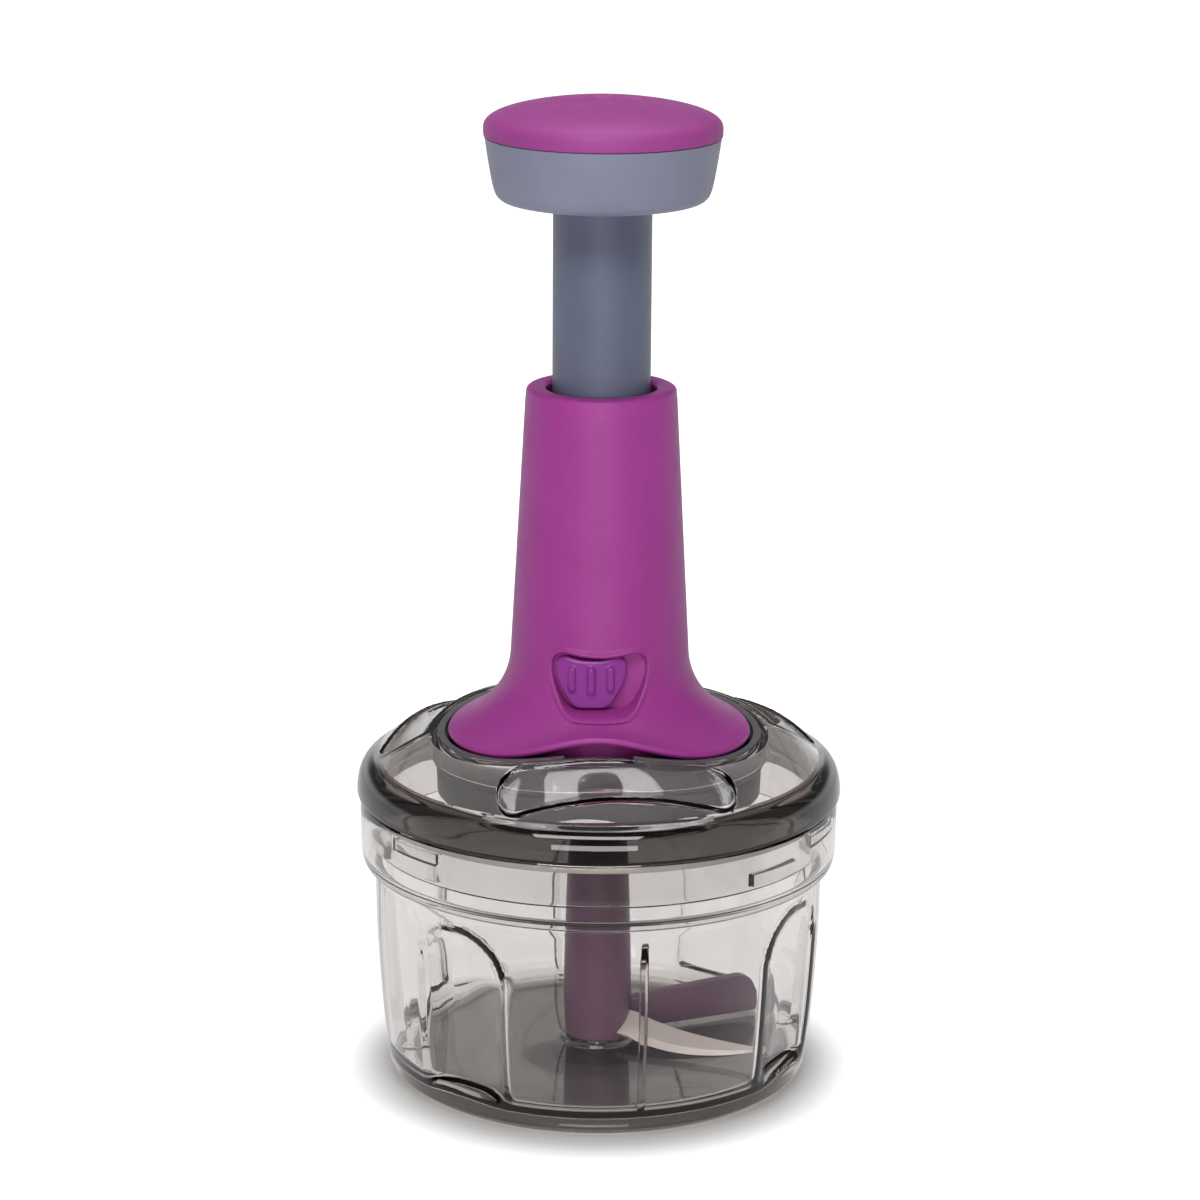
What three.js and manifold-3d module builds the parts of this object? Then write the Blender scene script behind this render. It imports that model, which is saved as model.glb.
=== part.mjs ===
// Plunger food chopper: pressing the knob spins a blade in a clear bowl through a twisted drive screw.
// Millimetres, +Z up, origin at the middle of the base, lock slider on the -Y side.
// Azimuths are in degrees from the front (-Y) towards the right (+X).

import * as THREE from 'three';
import { mergeVertices } from 'three/addons/utils/BufferGeometryUtils.js';
import Module from 'manifold-3d';

const wasm = await Module();
wasm.setup();

// Driving dimensions
const totalHeight = 308.2;
const bowlRadius = 69.9; // body of the bowl just under its ledge
const bowlTop = 90.5;
const tubeRadius = 15;
const knobRadius = 36;
const stroke = 55; // travel of the plunger
const screwTurns = 1.5; // turns of the blade for one stroke
const lockTravel = 5;
const bayonetTurn = 22; // degrees from unlocked to locked

// Clearances, edges and cutting allowance
const seat = 0.3; // between pieces that rest on or in each other
const running = 0.45; // between pieces that move past each other
const edge = 0.4; // small broken edge
const chamfer = 0.8; // larger broken edge
const root = 0.6; // how far a form that is joined on runs into its wall
const overrun = 3; // how far a cutting tool passes the surface that it opens

// Facets
const domed = 48;
const fine = 36;
const medium = 28;
const coarse = 16;
const modest = 12;
const tiny = 8;
const arcSteps = 3;
const endSteps = 2; // in the round end of a bar

const rad = THREE.MathUtils.degToRad;
const lerp = THREE.MathUtils.lerp;
const fullTurn = 2 * Math.PI;
const fullCircle = 360; // degrees
const quarterTurn = Math.PI / 2;

// Shape helpers
function closedGeometry(geometry) {
  const bare = geometry.clone();
  bare.deleteAttribute('normal');
  bare.deleteAttribute('uv');
  const merged = mergeVertices(bare);
  const kept = [];
  const corners = merged.index.array;
  for (let i = 0; i < corners.length; i += 3) {
    const [a, b, c] = [corners[i], corners[i + 1], corners[i + 2]];
    if (a !== b && b !== c && c !== a) kept.push(a, b, c);
  }
  merged.setIndex(kept);
  return merged;
}

function solid(geometry) {
  const closed = closedGeometry(geometry);
  return new wasm.Manifold(new wasm.Mesh({
    numProp: 3,
    vertProperties: Float32Array.from(closed.attributes.position.array),
    triVerts: Uint32Array.from(closed.index.array),
  }));
}

function surface(body) {
  const mesh = body.getMesh();
  const geometry = new THREE.BufferGeometry();
  geometry.setAttribute('position', new THREE.BufferAttribute(Float32Array.from(mesh.vertProperties), 3));
  geometry.setIndex(new THREE.BufferAttribute(Uint32Array.from(mesh.triVerts), 1));
  geometry.computeVertexNormals();
  return geometry;
}

const cutAll = (body, tools) => tools.reduce((left, tool) => left.subtract(tool), body);
const joinAll = (body, added) => added.reduce((whole, form) => whole.add(form), body);
const listOf = (count, make) => Array.from({ length: count }, (_, i) => make(i));
const azimuthsFrom = (start, count) => listOf(count, (i) => start + (i * fullCircle) / count);

// Moves every vertex of a geometry
function reshape(geometry, move) {
  const position = geometry.attributes.position;
  for (let i = 0; i < position.count; i += 1) {
    position.setXYZ(i, ...move(position.getX(i), position.getY(i), position.getZ(i)));
  }
  return geometry;
}

// A revolve whose profile [radius, height] may change with the azimuth. It runs up outside and down inside.
function revolve(profileAt, facets, azimuths = null) {
  const stations = azimuths ?? listOf(facets + 1, (i) => (fullTurn * i) / facets);
  const first = profileAt(0).map(([r, z]) => new THREE.Vector2(r, z));
  const geometry = new THREE.LatheGeometry(first, stations.length - 1);
  const position = geometry.attributes.position;
  stations.forEach((station, i) => {
    const azimuth = i === stations.length - 1 ? stations[0] : station;
    profileAt(azimuth).forEach(([r, z], j) => {
      position.setXYZ(i * first.length + j, r * Math.sin(azimuth), -r * Math.cos(azimuth), z);
    });
  });
  return geometry;
}

const lathe = (profile, facets) => revolve(() => profile, facets);

function cylinder(radius, bottom, top, facets) {
  return lathe([[0, bottom], [radius, bottom], [radius, top], [0, top]], facets);
}

function box(xRange, yRange, zRange) {
  const size = [xRange, yRange, zRange].map(([low, high]) => high - low);
  const middle = [xRange, yRange, zRange].map(([low, high]) => (low + high) / 2);
  return new THREE.BoxGeometry(...size).translate(...middle);
}

function prism(shape, depth, curveSegments) {
  return new THREE.ExtrudeGeometry(shape, { depth, bevelEnabled: false, curveSegments });
}

// Extrudes an outline drawn in [x, z] along +Y from yStart
function frontPrism(shape, yStart, depth, curveSegments) {
  return prism(shape, depth, curveSegments).rotateX(quarterTurn).translate(0, yStart + depth, 0);
}

// Turns a geometry drawn along +X to an azimuth
const toAzimuth = (geometry, azimuth) => geometry.rotateZ(rad(azimuth) - quarterTurn);

function outline(points) {
  const shape = new THREE.Shape();
  points.forEach(([u, v], i) => (i ? shape.lineTo(u, v) : shape.moveTo(u, v)));
  shape.closePath();
  return shape;
}

function ringSector(inner, outer, bottom, top, width, azimuth) {
  const half = rad(width / 2);
  const shape = new THREE.Shape();
  shape.absarc(0, 0, outer, -half, half, false);
  shape.absarc(0, 0, inner, half, -half, true);
  shape.closePath();
  return toAzimuth(prism(shape, top - bottom, arcSteps).translate(0, 0, bottom), azimuth);
}

function bezier(start, middle, end, share) {
  return start.map((s, i) => lerp(lerp(s, middle[i], share), lerp(middle[i], end[i], share), share));
}

const bezierRun = (start, middle, end, steps) => (
  listOf(steps + 1, (i) => bezier(start, middle, end, i / steps))
);

// Reads a run of [key, value] points with rising keys at one key
function readRun(run, key) {
  const next = Math.max(1, run.findIndex(([k]) => k >= key));
  const [[lowKey, low], [highKey, high]] = [run[next - 1], run[next]];
  return lerp(low, high, (key - lowKey) / (highKey - lowKey));
}

// Outline of the lobed foot: three lobes at 60, 180 and 300 degrees, and an arch in front
const lidRise = 21.7; // from the bowl's top to the foot's lowest edge
const footEdge = bowlTop + lidRise;
const footShare = 0.664; // of the bowl's radius
const footRadius = bowlRadius * footShare;
const lobeDepth = 2.2;
const lobeCount = 3;
const lobeAzimuth = 60; // of the first lobe
const archRise = 6.8;
const valleyRise = 0.9;
const archSharpness = 8;
const archShape = (azimuth) => Math.max(0, Math.cos(azimuth)) ** archSharpness;
const valleyShape = (azimuth) => (1 + Math.cos(lobeCount * azimuth)) / 2;
const footRadiusAt = (azimuth) => footRadius - lobeDepth * Math.cos(lobeCount * azimuth);
const footEdgeAt = (azimuth) => footEdge + archRise * archShape(azimuth) + valleyRise * valleyShape(azimuth);

// The rim of the hub housing follows the foot a little outside it
const hubMargin = 3.2;
const hubArchRise = 3.2;
const hubValleyRise = 1.6;
const hubFloorRise = 2.5; // over the bowl's top
const hubFloor = bowlTop + hubFloorRise;
const hubFloorThickness = 2.5;
const hubFloorTop = hubFloor + hubFloorThickness;
const hubRimHeight = 1.6; // the rim rests on the lid, and the wall under it is stepped in
const hubStep = 1.3;
const hubRadiusAt = (azimuth) => footRadiusAt(azimuth) + hubMargin;
const hubTopAt = (azimuth) => (
  footEdge + hubArchRise * archShape(azimuth) + hubValleyRise * valleyShape(azimuth) - seat
);

// Bowl
const bowlWall = 2.4;
const bowlFloor = 6.3;
const bowlFloorTop = 8.6;
const bowlFootGap = 1; // the pad stands this much below the bowl's rim
const collarHeight = 21.5;
const ledgeHeight = bowlTop - collarHeight;
const padMargin = 11.4; // from the bowl's radius in to the pad
const padRadius = bowlRadius - padMargin;
const padHeight = bowlFloor - seat;
const pinRadius = 2.5;
const pinTop = 24;
const pinFloor = 1.2; // plastic under the pin
const pinBossRadius = 7;
const pinBossDrop = 2.9;
const pinDiscRadius = 11.5; // the raised disc that the stem turns on
const pinDiscRise = 1.6;
const pinDiscTop = bowlFloorTop + pinDiscRise;
const collarStep = 4.6;
const collarWall = 2.7;
const collarRadius = bowlRadius + collarStep;
const collarInside = collarRadius - collarWall;
const lugCount = 3;
const lugWidth = 16; // degrees
const bowlLugAzimuth = 70;
const bowlLugDrop = 6.5; // from the bowl's top to the underside of its lugs
const bowlLugHeight = 3;
const lugDepth = 1.6;
const footRun = [[2.2, 0], [4.4, 0.5], [6, 2]]; // the curve under the bowl, out from the pad and up
const bowlBodyShares = [[0.942, 0.06], [0.969, 0.27], [0.986, 0.5], [0.997, 0.73], [1, 0.985]];
const collarCurve = [[2.2, 0.3], [3.6, 1.7], [4.2, 4.4]]; // out from the body and up from the ledge
const floorCurve = [[6.6, 2.6], [10, 0]]; // in from the body and up from the floor

function basePad() {
  const pocket = bowlFloor - pinBossDrop - seat;
  const pocketRadius = pinBossRadius + chamfer;
  return lathe([
    [0, 0], [padRadius - 2 * chamfer, 0], [padRadius, 2 * chamfer], [padRadius, padHeight - chamfer],
    [padRadius - chamfer, padHeight], [pocketRadius + edge, padHeight], [pocketRadius, pocket], [0, pocket],
  ], fine);
}

const bowlBody = bowlBodyShares.map(([radiusShare, heightShare]) => [
  bowlRadius * radiusShare, lerp(bowlFootGap, ledgeHeight, heightShare),
]);
const bowlOutside = [...footRun.map(([out, up]) => [padRadius + out, bowlFootGap + up]), ...bowlBody];

function bowlShell() {
  const boss = bowlFloor - pinBossDrop;
  const bore = pinRadius + seat;
  const inside = bowlBody.slice(1).reverse().map(([r, z]) => [r - bowlWall, z]);
  return lathe([
    [0, boss], [pinBossRadius, boss], [pinBossRadius + edge, bowlFloor],
    [padRadius + seat, bowlFloor], [padRadius + seat, bowlFootGap],
    ...bowlOutside,
    ...collarCurve.map(([out, up]) => [bowlRadius + out, ledgeHeight + up]),
    [collarRadius, bowlTop - 2 * bowlWall], [collarRadius - edge, bowlTop - chamfer],
    [collarRadius - chamfer, bowlTop], [collarInside + edge, bowlTop], [collarInside, bowlTop - edge],
    [collarInside, ledgeHeight + 2 * bowlWall], [collarInside - chamfer, ledgeHeight + bowlWall + chamfer],
    [bowlRadius - bowlWall, ledgeHeight + bowlWall - edge],
    ...inside,
    ...floorCurve.map(([inward, up]) => [bowlRadius - inward, bowlFloorTop + up]),
    [pinDiscRadius + edge, bowlFloorTop], [pinDiscRadius, pinDiscTop],
    [bore, pinDiscTop], [bore, boss + pinFloor], [0, boss + pinFloor],
  ], fine);
}

// Baffles are arches pressed into the wall, which stays about as thick behind them. Ribs stand between them.
const ribCount = 4;
const ribAzimuth = 12; // of the first rib
const ribAzimuths = azimuthsFrom(ribAzimuth, ribCount);
const ribWidth = 1.8;
const ribDepth = 3.6;
const ribBelowLedge = 5.5;
const ribRunOut = 9; // height over which the top of a rib runs out into the wall
const baffleOffset = 50; // degrees from the front and back ribs to the baffles beside them
const baffleAzimuths = [ribAzimuths[0], ribAzimuths[2]].flatMap((rib) => (
  [rib - baffleOffset, rib + baffleOffset]
));
const baffleHalfWidth = 17;
const baffleDepth = 4.6;
const baffleBelowLedge = 4.5;
const archSteps = 3;

// The space inside the bowl's outer skin, which keeps baffles and ribs within the wall
function bowlCore() {
  const skin = bowlWall / 2;
  const bottom = bowlFloorTop - skin;
  const above = bowlBody.map(([r, z]) => [r - skin, z]).filter(([, z]) => z > bottom);
  return lathe([[0, bottom], [above[0][0] - skin, bottom], ...above, [0, above[above.length - 1][1]]], fine);
}

// A round-topped post, flattened and bent along the wall, which it reaches into from an inset
function archForm(azimuth, inset, halfWidth, bottom) {
  const shoulder = ledgeHeight - baffleBelowLedge - baffleHalfWidth;
  const sides = listOf(archSteps + 1, (i) => [halfWidth, lerp(bottom, shoulder, i / archSteps)]);
  const top = listOf(archSteps - 1, (i) => (quarterTurn * (i + 1)) / archSteps).map((angle) => [
    halfWidth * Math.cos(angle), shoulder + halfWidth * Math.sin(angle),
  ]);
  const post = lathe([[0, bottom], ...sides, ...top, [0, shoulder + halfWidth]], modest);
  const wall = bowlOutside.map(([r, z]) => [z, r]);
  const bent = reshape(post, (x, y, z) => {
    const r = readRun(wall, z) - inset + (x * baffleDepth) / halfWidth;
    const angle = y / bowlRadius;
    return [r * Math.cos(angle), r * Math.sin(angle), z];
  });
  return solid(toAzimuth(bent, azimuth));
}

function narrowRib(azimuth) {
  const inner = bowlRadius - bowlWall - ribDepth;
  const top = ledgeHeight - ribBelowLedge;
  const shape = new THREE.Shape();
  shape.moveTo(inner, 0);
  shape.lineTo(bowlRadius, 0);
  shape.lineTo(bowlRadius, top + overrun);
  shape.quadraticCurveTo(inner + chamfer, top + chamfer, inner, top - ribRunOut);
  shape.closePath();
  return solid(toAzimuth(frontPrism(shape, -ribWidth / 2, ribWidth, arcSteps), azimuth));
}

function bowlLug(azimuth) {
  const bottom = bowlTop - bowlLugDrop;
  const [inner, outer] = [collarInside - lugDepth, collarInside + root];
  return solid(ringSector(inner, outer, bottom, bottom + bowlLugHeight, lugWidth, azimuth));
}

function bowl() {
  const core = solid(bowlCore());
  const baffles = baffleAzimuths.map((azimuth) => (
    archForm(azimuth, bowlWall, baffleHalfWidth, bowlFloorTop - edge)
  ));
  const inside = [...baffles, ...ribAzimuths.map(narrowRib)].map((form) => form.intersect(core));
  const lugs = azimuthsFrom(bowlLugAzimuth, lugCount).map(bowlLug);
  const hollows = baffleAzimuths.map((azimuth) => (
    archForm(azimuth, 0, baffleHalfWidth - bowlWall / 2, bowlFloorTop + overrun)
  ));
  return surface(cutAll(joinAll(solid(bowlShell()), [...inside, ...lugs]), hollows));
}

function bladePin() {
  const bottom = bowlFloor - pinBossDrop + pinFloor + seat;
  return lathe([
    [0, bottom], [pinRadius, bottom],
    [pinRadius, pinTop - chamfer], [pinRadius - chamfer, pinTop], [0, pinTop],
  ], coarse);
}

// Lid: a dome with a thick rounded rim, a skirt that drops into the bowl's collar and an opening for the hub
const lidOverhang = 5.6;
const lidRadius = bowlRadius + lidOverhang;
const lidGap = 0.9; // between the lid's rim and the top of the bowl
const rimBottom = bowlTop + lidGap;
const rimCurve = [[0.4, 0], [0, 1], [0.3, 4.2], [1.2, 7.2], [2.9, 9.4]]; // in from the lid's radius and up
const shoulderInset = 5.5; // where the dome meets the rounded rim
const rimHeight = 10.8;
const rimShoulder = [lidRadius - shoulderInset, rimBottom + rimHeight];
const rimThickness = 6; // of the solid rim over the skirt
const skirtGap = 2.2; // between skirt and bowl, where the seal sits
const skirtRadius = collarInside - skirtGap;
const skirtWall = 2;
const skirtHeight = 15;
const skirtBottom = rimBottom - skirtHeight;
const domeWall = 2.4;
const domeSteps = 5;
const domeRise = 1.6; // how far the dome bulges over a straight cone
const crownShare = 0.45;
const lidCollarDrop = 8; // of the lid's collar round the hub housing, below the foot's edge
const lidCollarBottom = footEdge - lidCollarDrop;
const lidLugHeight = 3.6;
const scoopAzimuth = 5; // of the front scoop
const scoopAzimuths = azimuthsFrom(scoopAzimuth, lobeCount);
const scoopHalfLength = 30; // straight part of each scoop, each way from its middle
const scoopHalfWidth = 7.3;
const scoopDepth = 3;
const scoopMargin = 0.8; // from the housing to a scoop
const scoopCentre = footRadius - lobeDepth + hubMargin + scoopMargin + scoopHalfWidth;
const scoopSteps = 4;

function domeRun(azimuth, inner, steps) {
  const top = hubTopAt(azimuth) - seat;
  const crown = [lerp(inner, rimShoulder[0], crownShare), top + domeRise * valleyShape(azimuth)];
  return bezierRun([inner, top], crown, rimShoulder, steps);
}

function lidProfile(azimuth) {
  const opening = hubRadiusAt(azimuth) + seat;
  const collarIn = opening - hubStep;
  const collarOut = collarIn + domeWall;
  const ledge = hubTopAt(azimuth) - hubRimHeight - seat;
  const rimInside = skirtRadius - skirtWall;
  const underside = domeRun(azimuth, collarOut, domeSteps).slice(0, domeSteps);
  return [
    ...rimCurve.map(([inward, up]) => [lidRadius - inward, rimBottom + up]),
    ...domeRun(azimuth, opening, domeSteps).reverse(),
    [opening, ledge], [collarIn, ledge], [collarIn, lidCollarBottom], [collarOut, lidCollarBottom],
    ...underside.map(([r, z]) => [Math.min(r, rimInside - edge), z - domeWall]),
    [rimInside, rimBottom + rimThickness], [rimInside, skirtBottom],
    [skirtRadius, skirtBottom], [skirtRadius, rimBottom], [lidRadius - rimCurve[0][0], rimBottom],
  ];
}

// A round-ended bar along a scoop that follows the dome, sunk under it, with its own rise and depth
function scoopForm(middle, halfWidth, [sink, rise, depth], facets) {
  const bar = new THREE.CapsuleGeometry(halfWidth, 2 * scoopHalfLength, endSteps, facets, scoopSteps);
  return solid(reshape(bar.rotateZ(quarterTurn), (along, across, up) => {
    const r = Math.hypot(along, scoopCentre + across);
    const azimuth = rad(middle) - Math.atan2(along, scoopCentre + across);
    const dome = domeRun(azimuth, hubRadiusAt(azimuth), 2 * domeSteps);
    const stretch = up > 0 ? rise : depth;
    const height = readRun(dome, Math.min(r, rimShoulder[0])) - sink + (up / halfWidth) * stretch;
    return [r * Math.sin(azimuth), -r * Math.cos(azimuth), height];
  }));
}

function lidLug(azimuth) {
  const bottom = skirtBottom + skirtWall;
  const [inner, outer] = [skirtRadius - root, skirtRadius + lugDepth];
  return solid(ringSector(inner, outer, bottom, bottom + lidLugHeight, lugWidth, azimuth));
}

function lid() {
  const half = domeWall / 2;
  const pans = scoopAzimuths.map((azimuth) => (
    scoopForm(azimuth, scoopHalfWidth + edge, [half, edge, scoopDepth + half], tiny)
  ));
  const scoops = scoopAzimuths.map((azimuth) => (
    scoopForm(azimuth, scoopHalfWidth, [0, overrun, scoopDepth], modest)
  ));
  const lugs = azimuthsFrom(bowlLugAzimuth - bayonetTurn, lugCount).map(lidLug);
  return surface(cutAll(joinAll(solid(revolve(lidProfile, domed)), [...pans, ...lugs]), scoops));
}

const sealHeight = 3.3;

function lidSeal() {
  const [inner, outer] = [skirtRadius + running, collarInside - seat];
  const top = rimBottom - seat;
  const bottom = top - sealHeight;
  return lathe([[outer, bottom], [outer, top], [inner, top], [inner, bottom], [outer, bottom]], fine);
}

// Hub housing: the lobed grey cup that carries the column. Its rim rests on the lid, a bead snaps in below.
const shaftRadius = 5;
const hubRimWidth = 2.4;
const hubWallInset = 3.5; // from the rim's radius to the inside of the wall
const hubRimDrop = 1.2; // the rim is thin down to this much under the foot's edge
const beadDepth = 0.9;
const beadHeight = 1.4;
const notchDepth = 5;
const notchHalfWidths = [9.5, 17.5]; // at the inside and the outside of the rim
const boreGap = 1.9; // round the plunger tube
const columnBore = tubeRadius + boreGap;
const screwInset = 4.6; // from the column's bore
const screwCircle = columnBore + screwInset;
const screwAzimuths = azimuthsFrom(lobeAzimuth, lobeCount);
const screwRadius = 1.5;

function screwHoles(radius, circle, bottom, top) {
  return screwAzimuths.map((azimuth) => (
    solid(toAzimuth(cylinder(radius, bottom, top, tiny).translate(circle, 0, 0), azimuth))
  ));
}

function hubProfile(azimuth) {
  const outer = hubRadiusAt(azimuth);
  const wall = outer - hubStep;
  const [top, inner] = [hubTopAt(azimuth), outer - hubWallInset];
  const rimInside = outer - hubRimWidth;
  const beadTop = lidCollarBottom - seat;
  const bore = shaftRadius + running;
  return [
    [wall, hubFloor], [wall, beadTop - beadHeight - beadDepth], [wall + beadDepth, beadTop - beadHeight],
    [wall + beadDepth, beadTop], [wall, beadTop], [wall, top - hubRimHeight], [outer, top - hubRimHeight],
    [outer, top - edge], [outer - edge, top], [rimInside + edge, top], [rimInside, top - edge],
    [rimInside, footEdge - hubRimDrop], [inner, footEdge - hubRimDrop - (hubWallInset - hubRimWidth)],
    [inner, hubFloorTop], [bore, hubFloorTop], [bore, hubFloor], [wall, hubFloor],
  ];
}

// The rim is left open in front, under the arch of the foot, with slanting ends
function hubNotch() {
  const front = footRadius - lobeDepth + hubMargin;
  const [inner, outer] = notchHalfWidths;
  const slant = (outer - inner) / hubRimWidth;
  const far = [outer + slant * overrun, -front - overrun];
  const close = [inner - slant * edge, -front + hubWallInset + edge];
  const bottom = hubTopAt(0) - notchDepth;
  const shape = outline([[-far[0], far[1]], [far[0], far[1]], close, [-close[0], close[1]]]);
  return solid(prism(shape, notchDepth + overrun, 1).translate(0, 0, bottom));
}

function hubHousing() {
  const holes = screwHoles(screwRadius + edge, screwCircle, hubFloor - overrun, hubFloorTop + overrun);
  return surface(cutAll(solid(revolve(hubProfile, domed)), [...holes, hubNotch()]));
}

// Heights of the knob and of the column under it
const knobDomeHeight = 11.8;
const knobBaseHeight = 19.8;
const pressedGap = 1.7; // left between knob and column with the plunger down
const knobSeam = totalHeight - knobDomeHeight;
const knobUnderside = knobSeam - knobBaseHeight;
const columnTop = knobUnderside - stroke - pressedGap;

// Handle column with its flared foot, lock recess and guide bore
const columnTopWidth = 8; // round the tube
const columnTopRadius = tubeRadius + columnTopWidth;
const columnFootWidth = 12.6; // where the flare of the foot starts
const columnFootRadius = tubeRadius + columnFootWidth;
const spigotWidth = 4.5; // outside the circle of screws
const spigotRadius = screwCircle + spigotWidth;
const spigotBottom = hubFloorTop + seat;
const screwHoleDrop = 2; // below the foot's edge
const screwHoleTop = footEdge - screwHoleDrop;
const flareHeight = 24;
const flareTop = footEdge + flareHeight;
const flareBend = [1.1, 15]; // what pulls the flare in: out from the column, down from the flare's top
const flareSteps = 5;
const footLip = [[1.8, 0.2], [0.9, 1], [0, -0.2], [0.5, -1.2]]; // in from the foot's radius, down from its edge
const footShell = [2.2, 1.4]; // in and down from the flare to the hollow under it
const shaftShares = [0.3, 0.6, 0.85];
const columnNeck = [[0, 3.5], [0.6, 1.2], [1.9, 0]]; // in from the column's radius and down from its top
const boreLead = 1.6;

function columnProfile(azimuth) {
  const [edgeRadius, edgeHeight] = [footRadiusAt(azimuth), footEdgeAt(azimuth)];
  const lip = footLip.map(([inward, down]) => [edgeRadius - inward, edgeHeight - down]);
  const middle = [columnFootRadius + flareBend[0], flareTop - flareBend[1]];
  const flare = bezierRun(lip[lip.length - 1], middle, [columnFootRadius, flareTop], flareSteps);
  const roof = flare.slice(1, Math.ceil(flareSteps / 2)).reverse();
  const hollow = roof.map(([r, z]) => [r - footShell[0], z - footShell[1]]);
  const shaft = shaftShares.map((share) => [
    lerp(columnFootRadius, columnTopRadius, share), lerp(flareTop, columnTop, share),
  ]);
  return [
    [spigotRadius, spigotBottom], [spigotRadius, hollow[0][1] + footShell[1]], ...hollow,
    ...lip.slice(0, -1), ...flare, ...shaft,
    ...columnNeck.map(([inward, down]) => [columnTopRadius - inward, columnTop - down]),
    [columnBore + boreLead, columnTop], [columnBore, columnTop - boreLead], [columnBore, spigotBottom],
    [spigotRadius, spigotBottom],
  ];
}

// Shield outline of the lock slider and its recess, drawn round its own middle
const shieldCornerShare = 0.45; // of the half height
const shieldDipShare = 0.24;
const shieldSideShare = 1.4; // of the corner

function shield(halfTop, halfBottom, halfHeight) {
  const corner = halfHeight * shieldCornerShare;
  const dip = halfHeight * shieldDipShare;
  const side = halfBottom + corner * shieldSideShare;
  const shape = new THREE.Shape();
  shape.moveTo(-halfBottom, -halfHeight);
  shape.lineTo(halfBottom, -halfHeight);
  shape.quadraticCurveTo(halfBottom + corner, -halfHeight, side, -halfHeight + corner);
  shape.quadraticCurveTo(halfTop, 0, halfTop, halfHeight - corner);
  shape.quadraticCurveTo(halfTop, halfHeight, halfTop - corner, halfHeight);
  shape.quadraticCurveTo(0, halfHeight - dip, -halfTop + corner, halfHeight);
  shape.quadraticCurveTo(-halfTop, halfHeight, -halfTop, halfHeight - corner);
  shape.quadraticCurveTo(-halfTop, 0, -side, -halfHeight + corner);
  shape.quadraticCurveTo(-halfBottom - corner, -halfHeight, -halfBottom, -halfHeight);
  return shape;
}

const lockRise = 21; // from the foot's edge to the middle of the lock slider
const lockHeight = footEdge + lockRise;
const sliderHalfTop = 10.8;
const sliderHalfBottom = 2.6;
const sliderHalfHeight = 8;
const recessMargin = 0.9;
const recessDepth = 5;
const recessFloor = columnFootRadius - recessDepth;
const borderWidth = 1.3;
const borderRise = 0.7;
const borderRoot = 7;
const tongueHalfWidth = 2;
const tongueHalfHeight = 1.5;
const tongueReach = 1.6; // into the tube's wall
const tongueTip = tubeRadius - tongueReach;
const restShift = -lockTravel / 2; // the slider rests at the left
const ribRadius = 1.2;
const ribSpacing = 5.8;
const ribTop = 5.4; // over the slider's middle
const ribLengths = [5.8, 9.8, 5.8]; // between the centres of their round ends
const middleRibLift = 0.5;

function shieldPrism(margin, yBack) {
  const side = margin + lockTravel / 2;
  const shape = shield(sliderHalfTop + side, sliderHalfBottom + side, sliderHalfHeight + margin);
  const front = columnFootRadius + overrun;
  return frontPrism(shape, -front, front - yBack, arcSteps).translate(0, 0, lockHeight);
}

function handleColumn() {
  const reach = 2 * sliderHalfHeight;
  const skin = cylinder(columnFootRadius + borderRise, lockHeight - reach, lockHeight + reach, medium);
  const border = solid(shieldPrism(recessMargin + borderWidth, columnFootRadius - borderRoot));
  const half = tongueHalfWidth + running + lockTravel / 2;
  const tall = tongueHalfHeight + running;
  const slot = box(
    [-half, half], [-recessFloor - overrun, -columnBore + overrun], [lockHeight - tall, lockHeight + tall],
  );
  const holes = screwHoles(screwRadius + edge, screwCircle, spigotBottom - overrun, screwHoleTop);
  const body = solid(revolve(columnProfile, fine)).add(border.intersect(solid(skin)));
  return surface(cutAll(body, [solid(shieldPrism(recessMargin, recessFloor)), solid(slot), ...holes]));
}

function gripRib(length, i) {
  const offset = (i - 1) * ribSpacing;
  const lift = offset ? 0 : middleRibLift;
  const bar = new THREE.CapsuleGeometry(ribRadius, length, arcSteps, tiny).rotateX(quarterTurn);
  const sagitta = columnFootRadius - Math.sqrt(columnFootRadius ** 2 - offset ** 2);
  const face = columnFootRadius - ribRadius / 2 - sagitta + lift;
  return solid(bar).translate([restShift + offset, -face, lockHeight + ribTop - length / 2 - ribRadius]);
}

function lockSlider() {
  const back = recessFloor + seat;
  const reach = 2 * sliderHalfHeight;
  const shape = shield(sliderHalfTop, sliderHalfBottom, sliderHalfHeight);
  const plate = frontPrism(shape, -columnFootRadius, columnFootRadius - back, arcSteps);
  const face = cylinder(columnFootRadius - edge, lockHeight - reach, lockHeight + reach, fine);
  const tongue = box(
    [-tongueHalfWidth, tongueHalfWidth], [-back - root, -tongueTip],
    [lockHeight - tongueHalfHeight, lockHeight + tongueHalfHeight],
  );
  const body = solid(plate.translate(0, 0, lockHeight)).intersect(solid(face)).add(solid(tongue));
  return surface(joinAll(body.translate([restShift, 0, 0]), ribLengths.map(gripRib)));
}

const bushDrop = 6; // below the column's top
const bushHeight = 18;

function guideBush() {
  const [inner, outer] = [tubeRadius + seat, columnBore - seat];
  const top = columnTop - bushDrop;
  const bottom = top - bushHeight;
  return lathe([
    [outer, bottom], [outer, top], [inner + edge, top], [inner, top - edge], [inner, bottom], [outer, bottom],
  ], medium);
}

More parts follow.
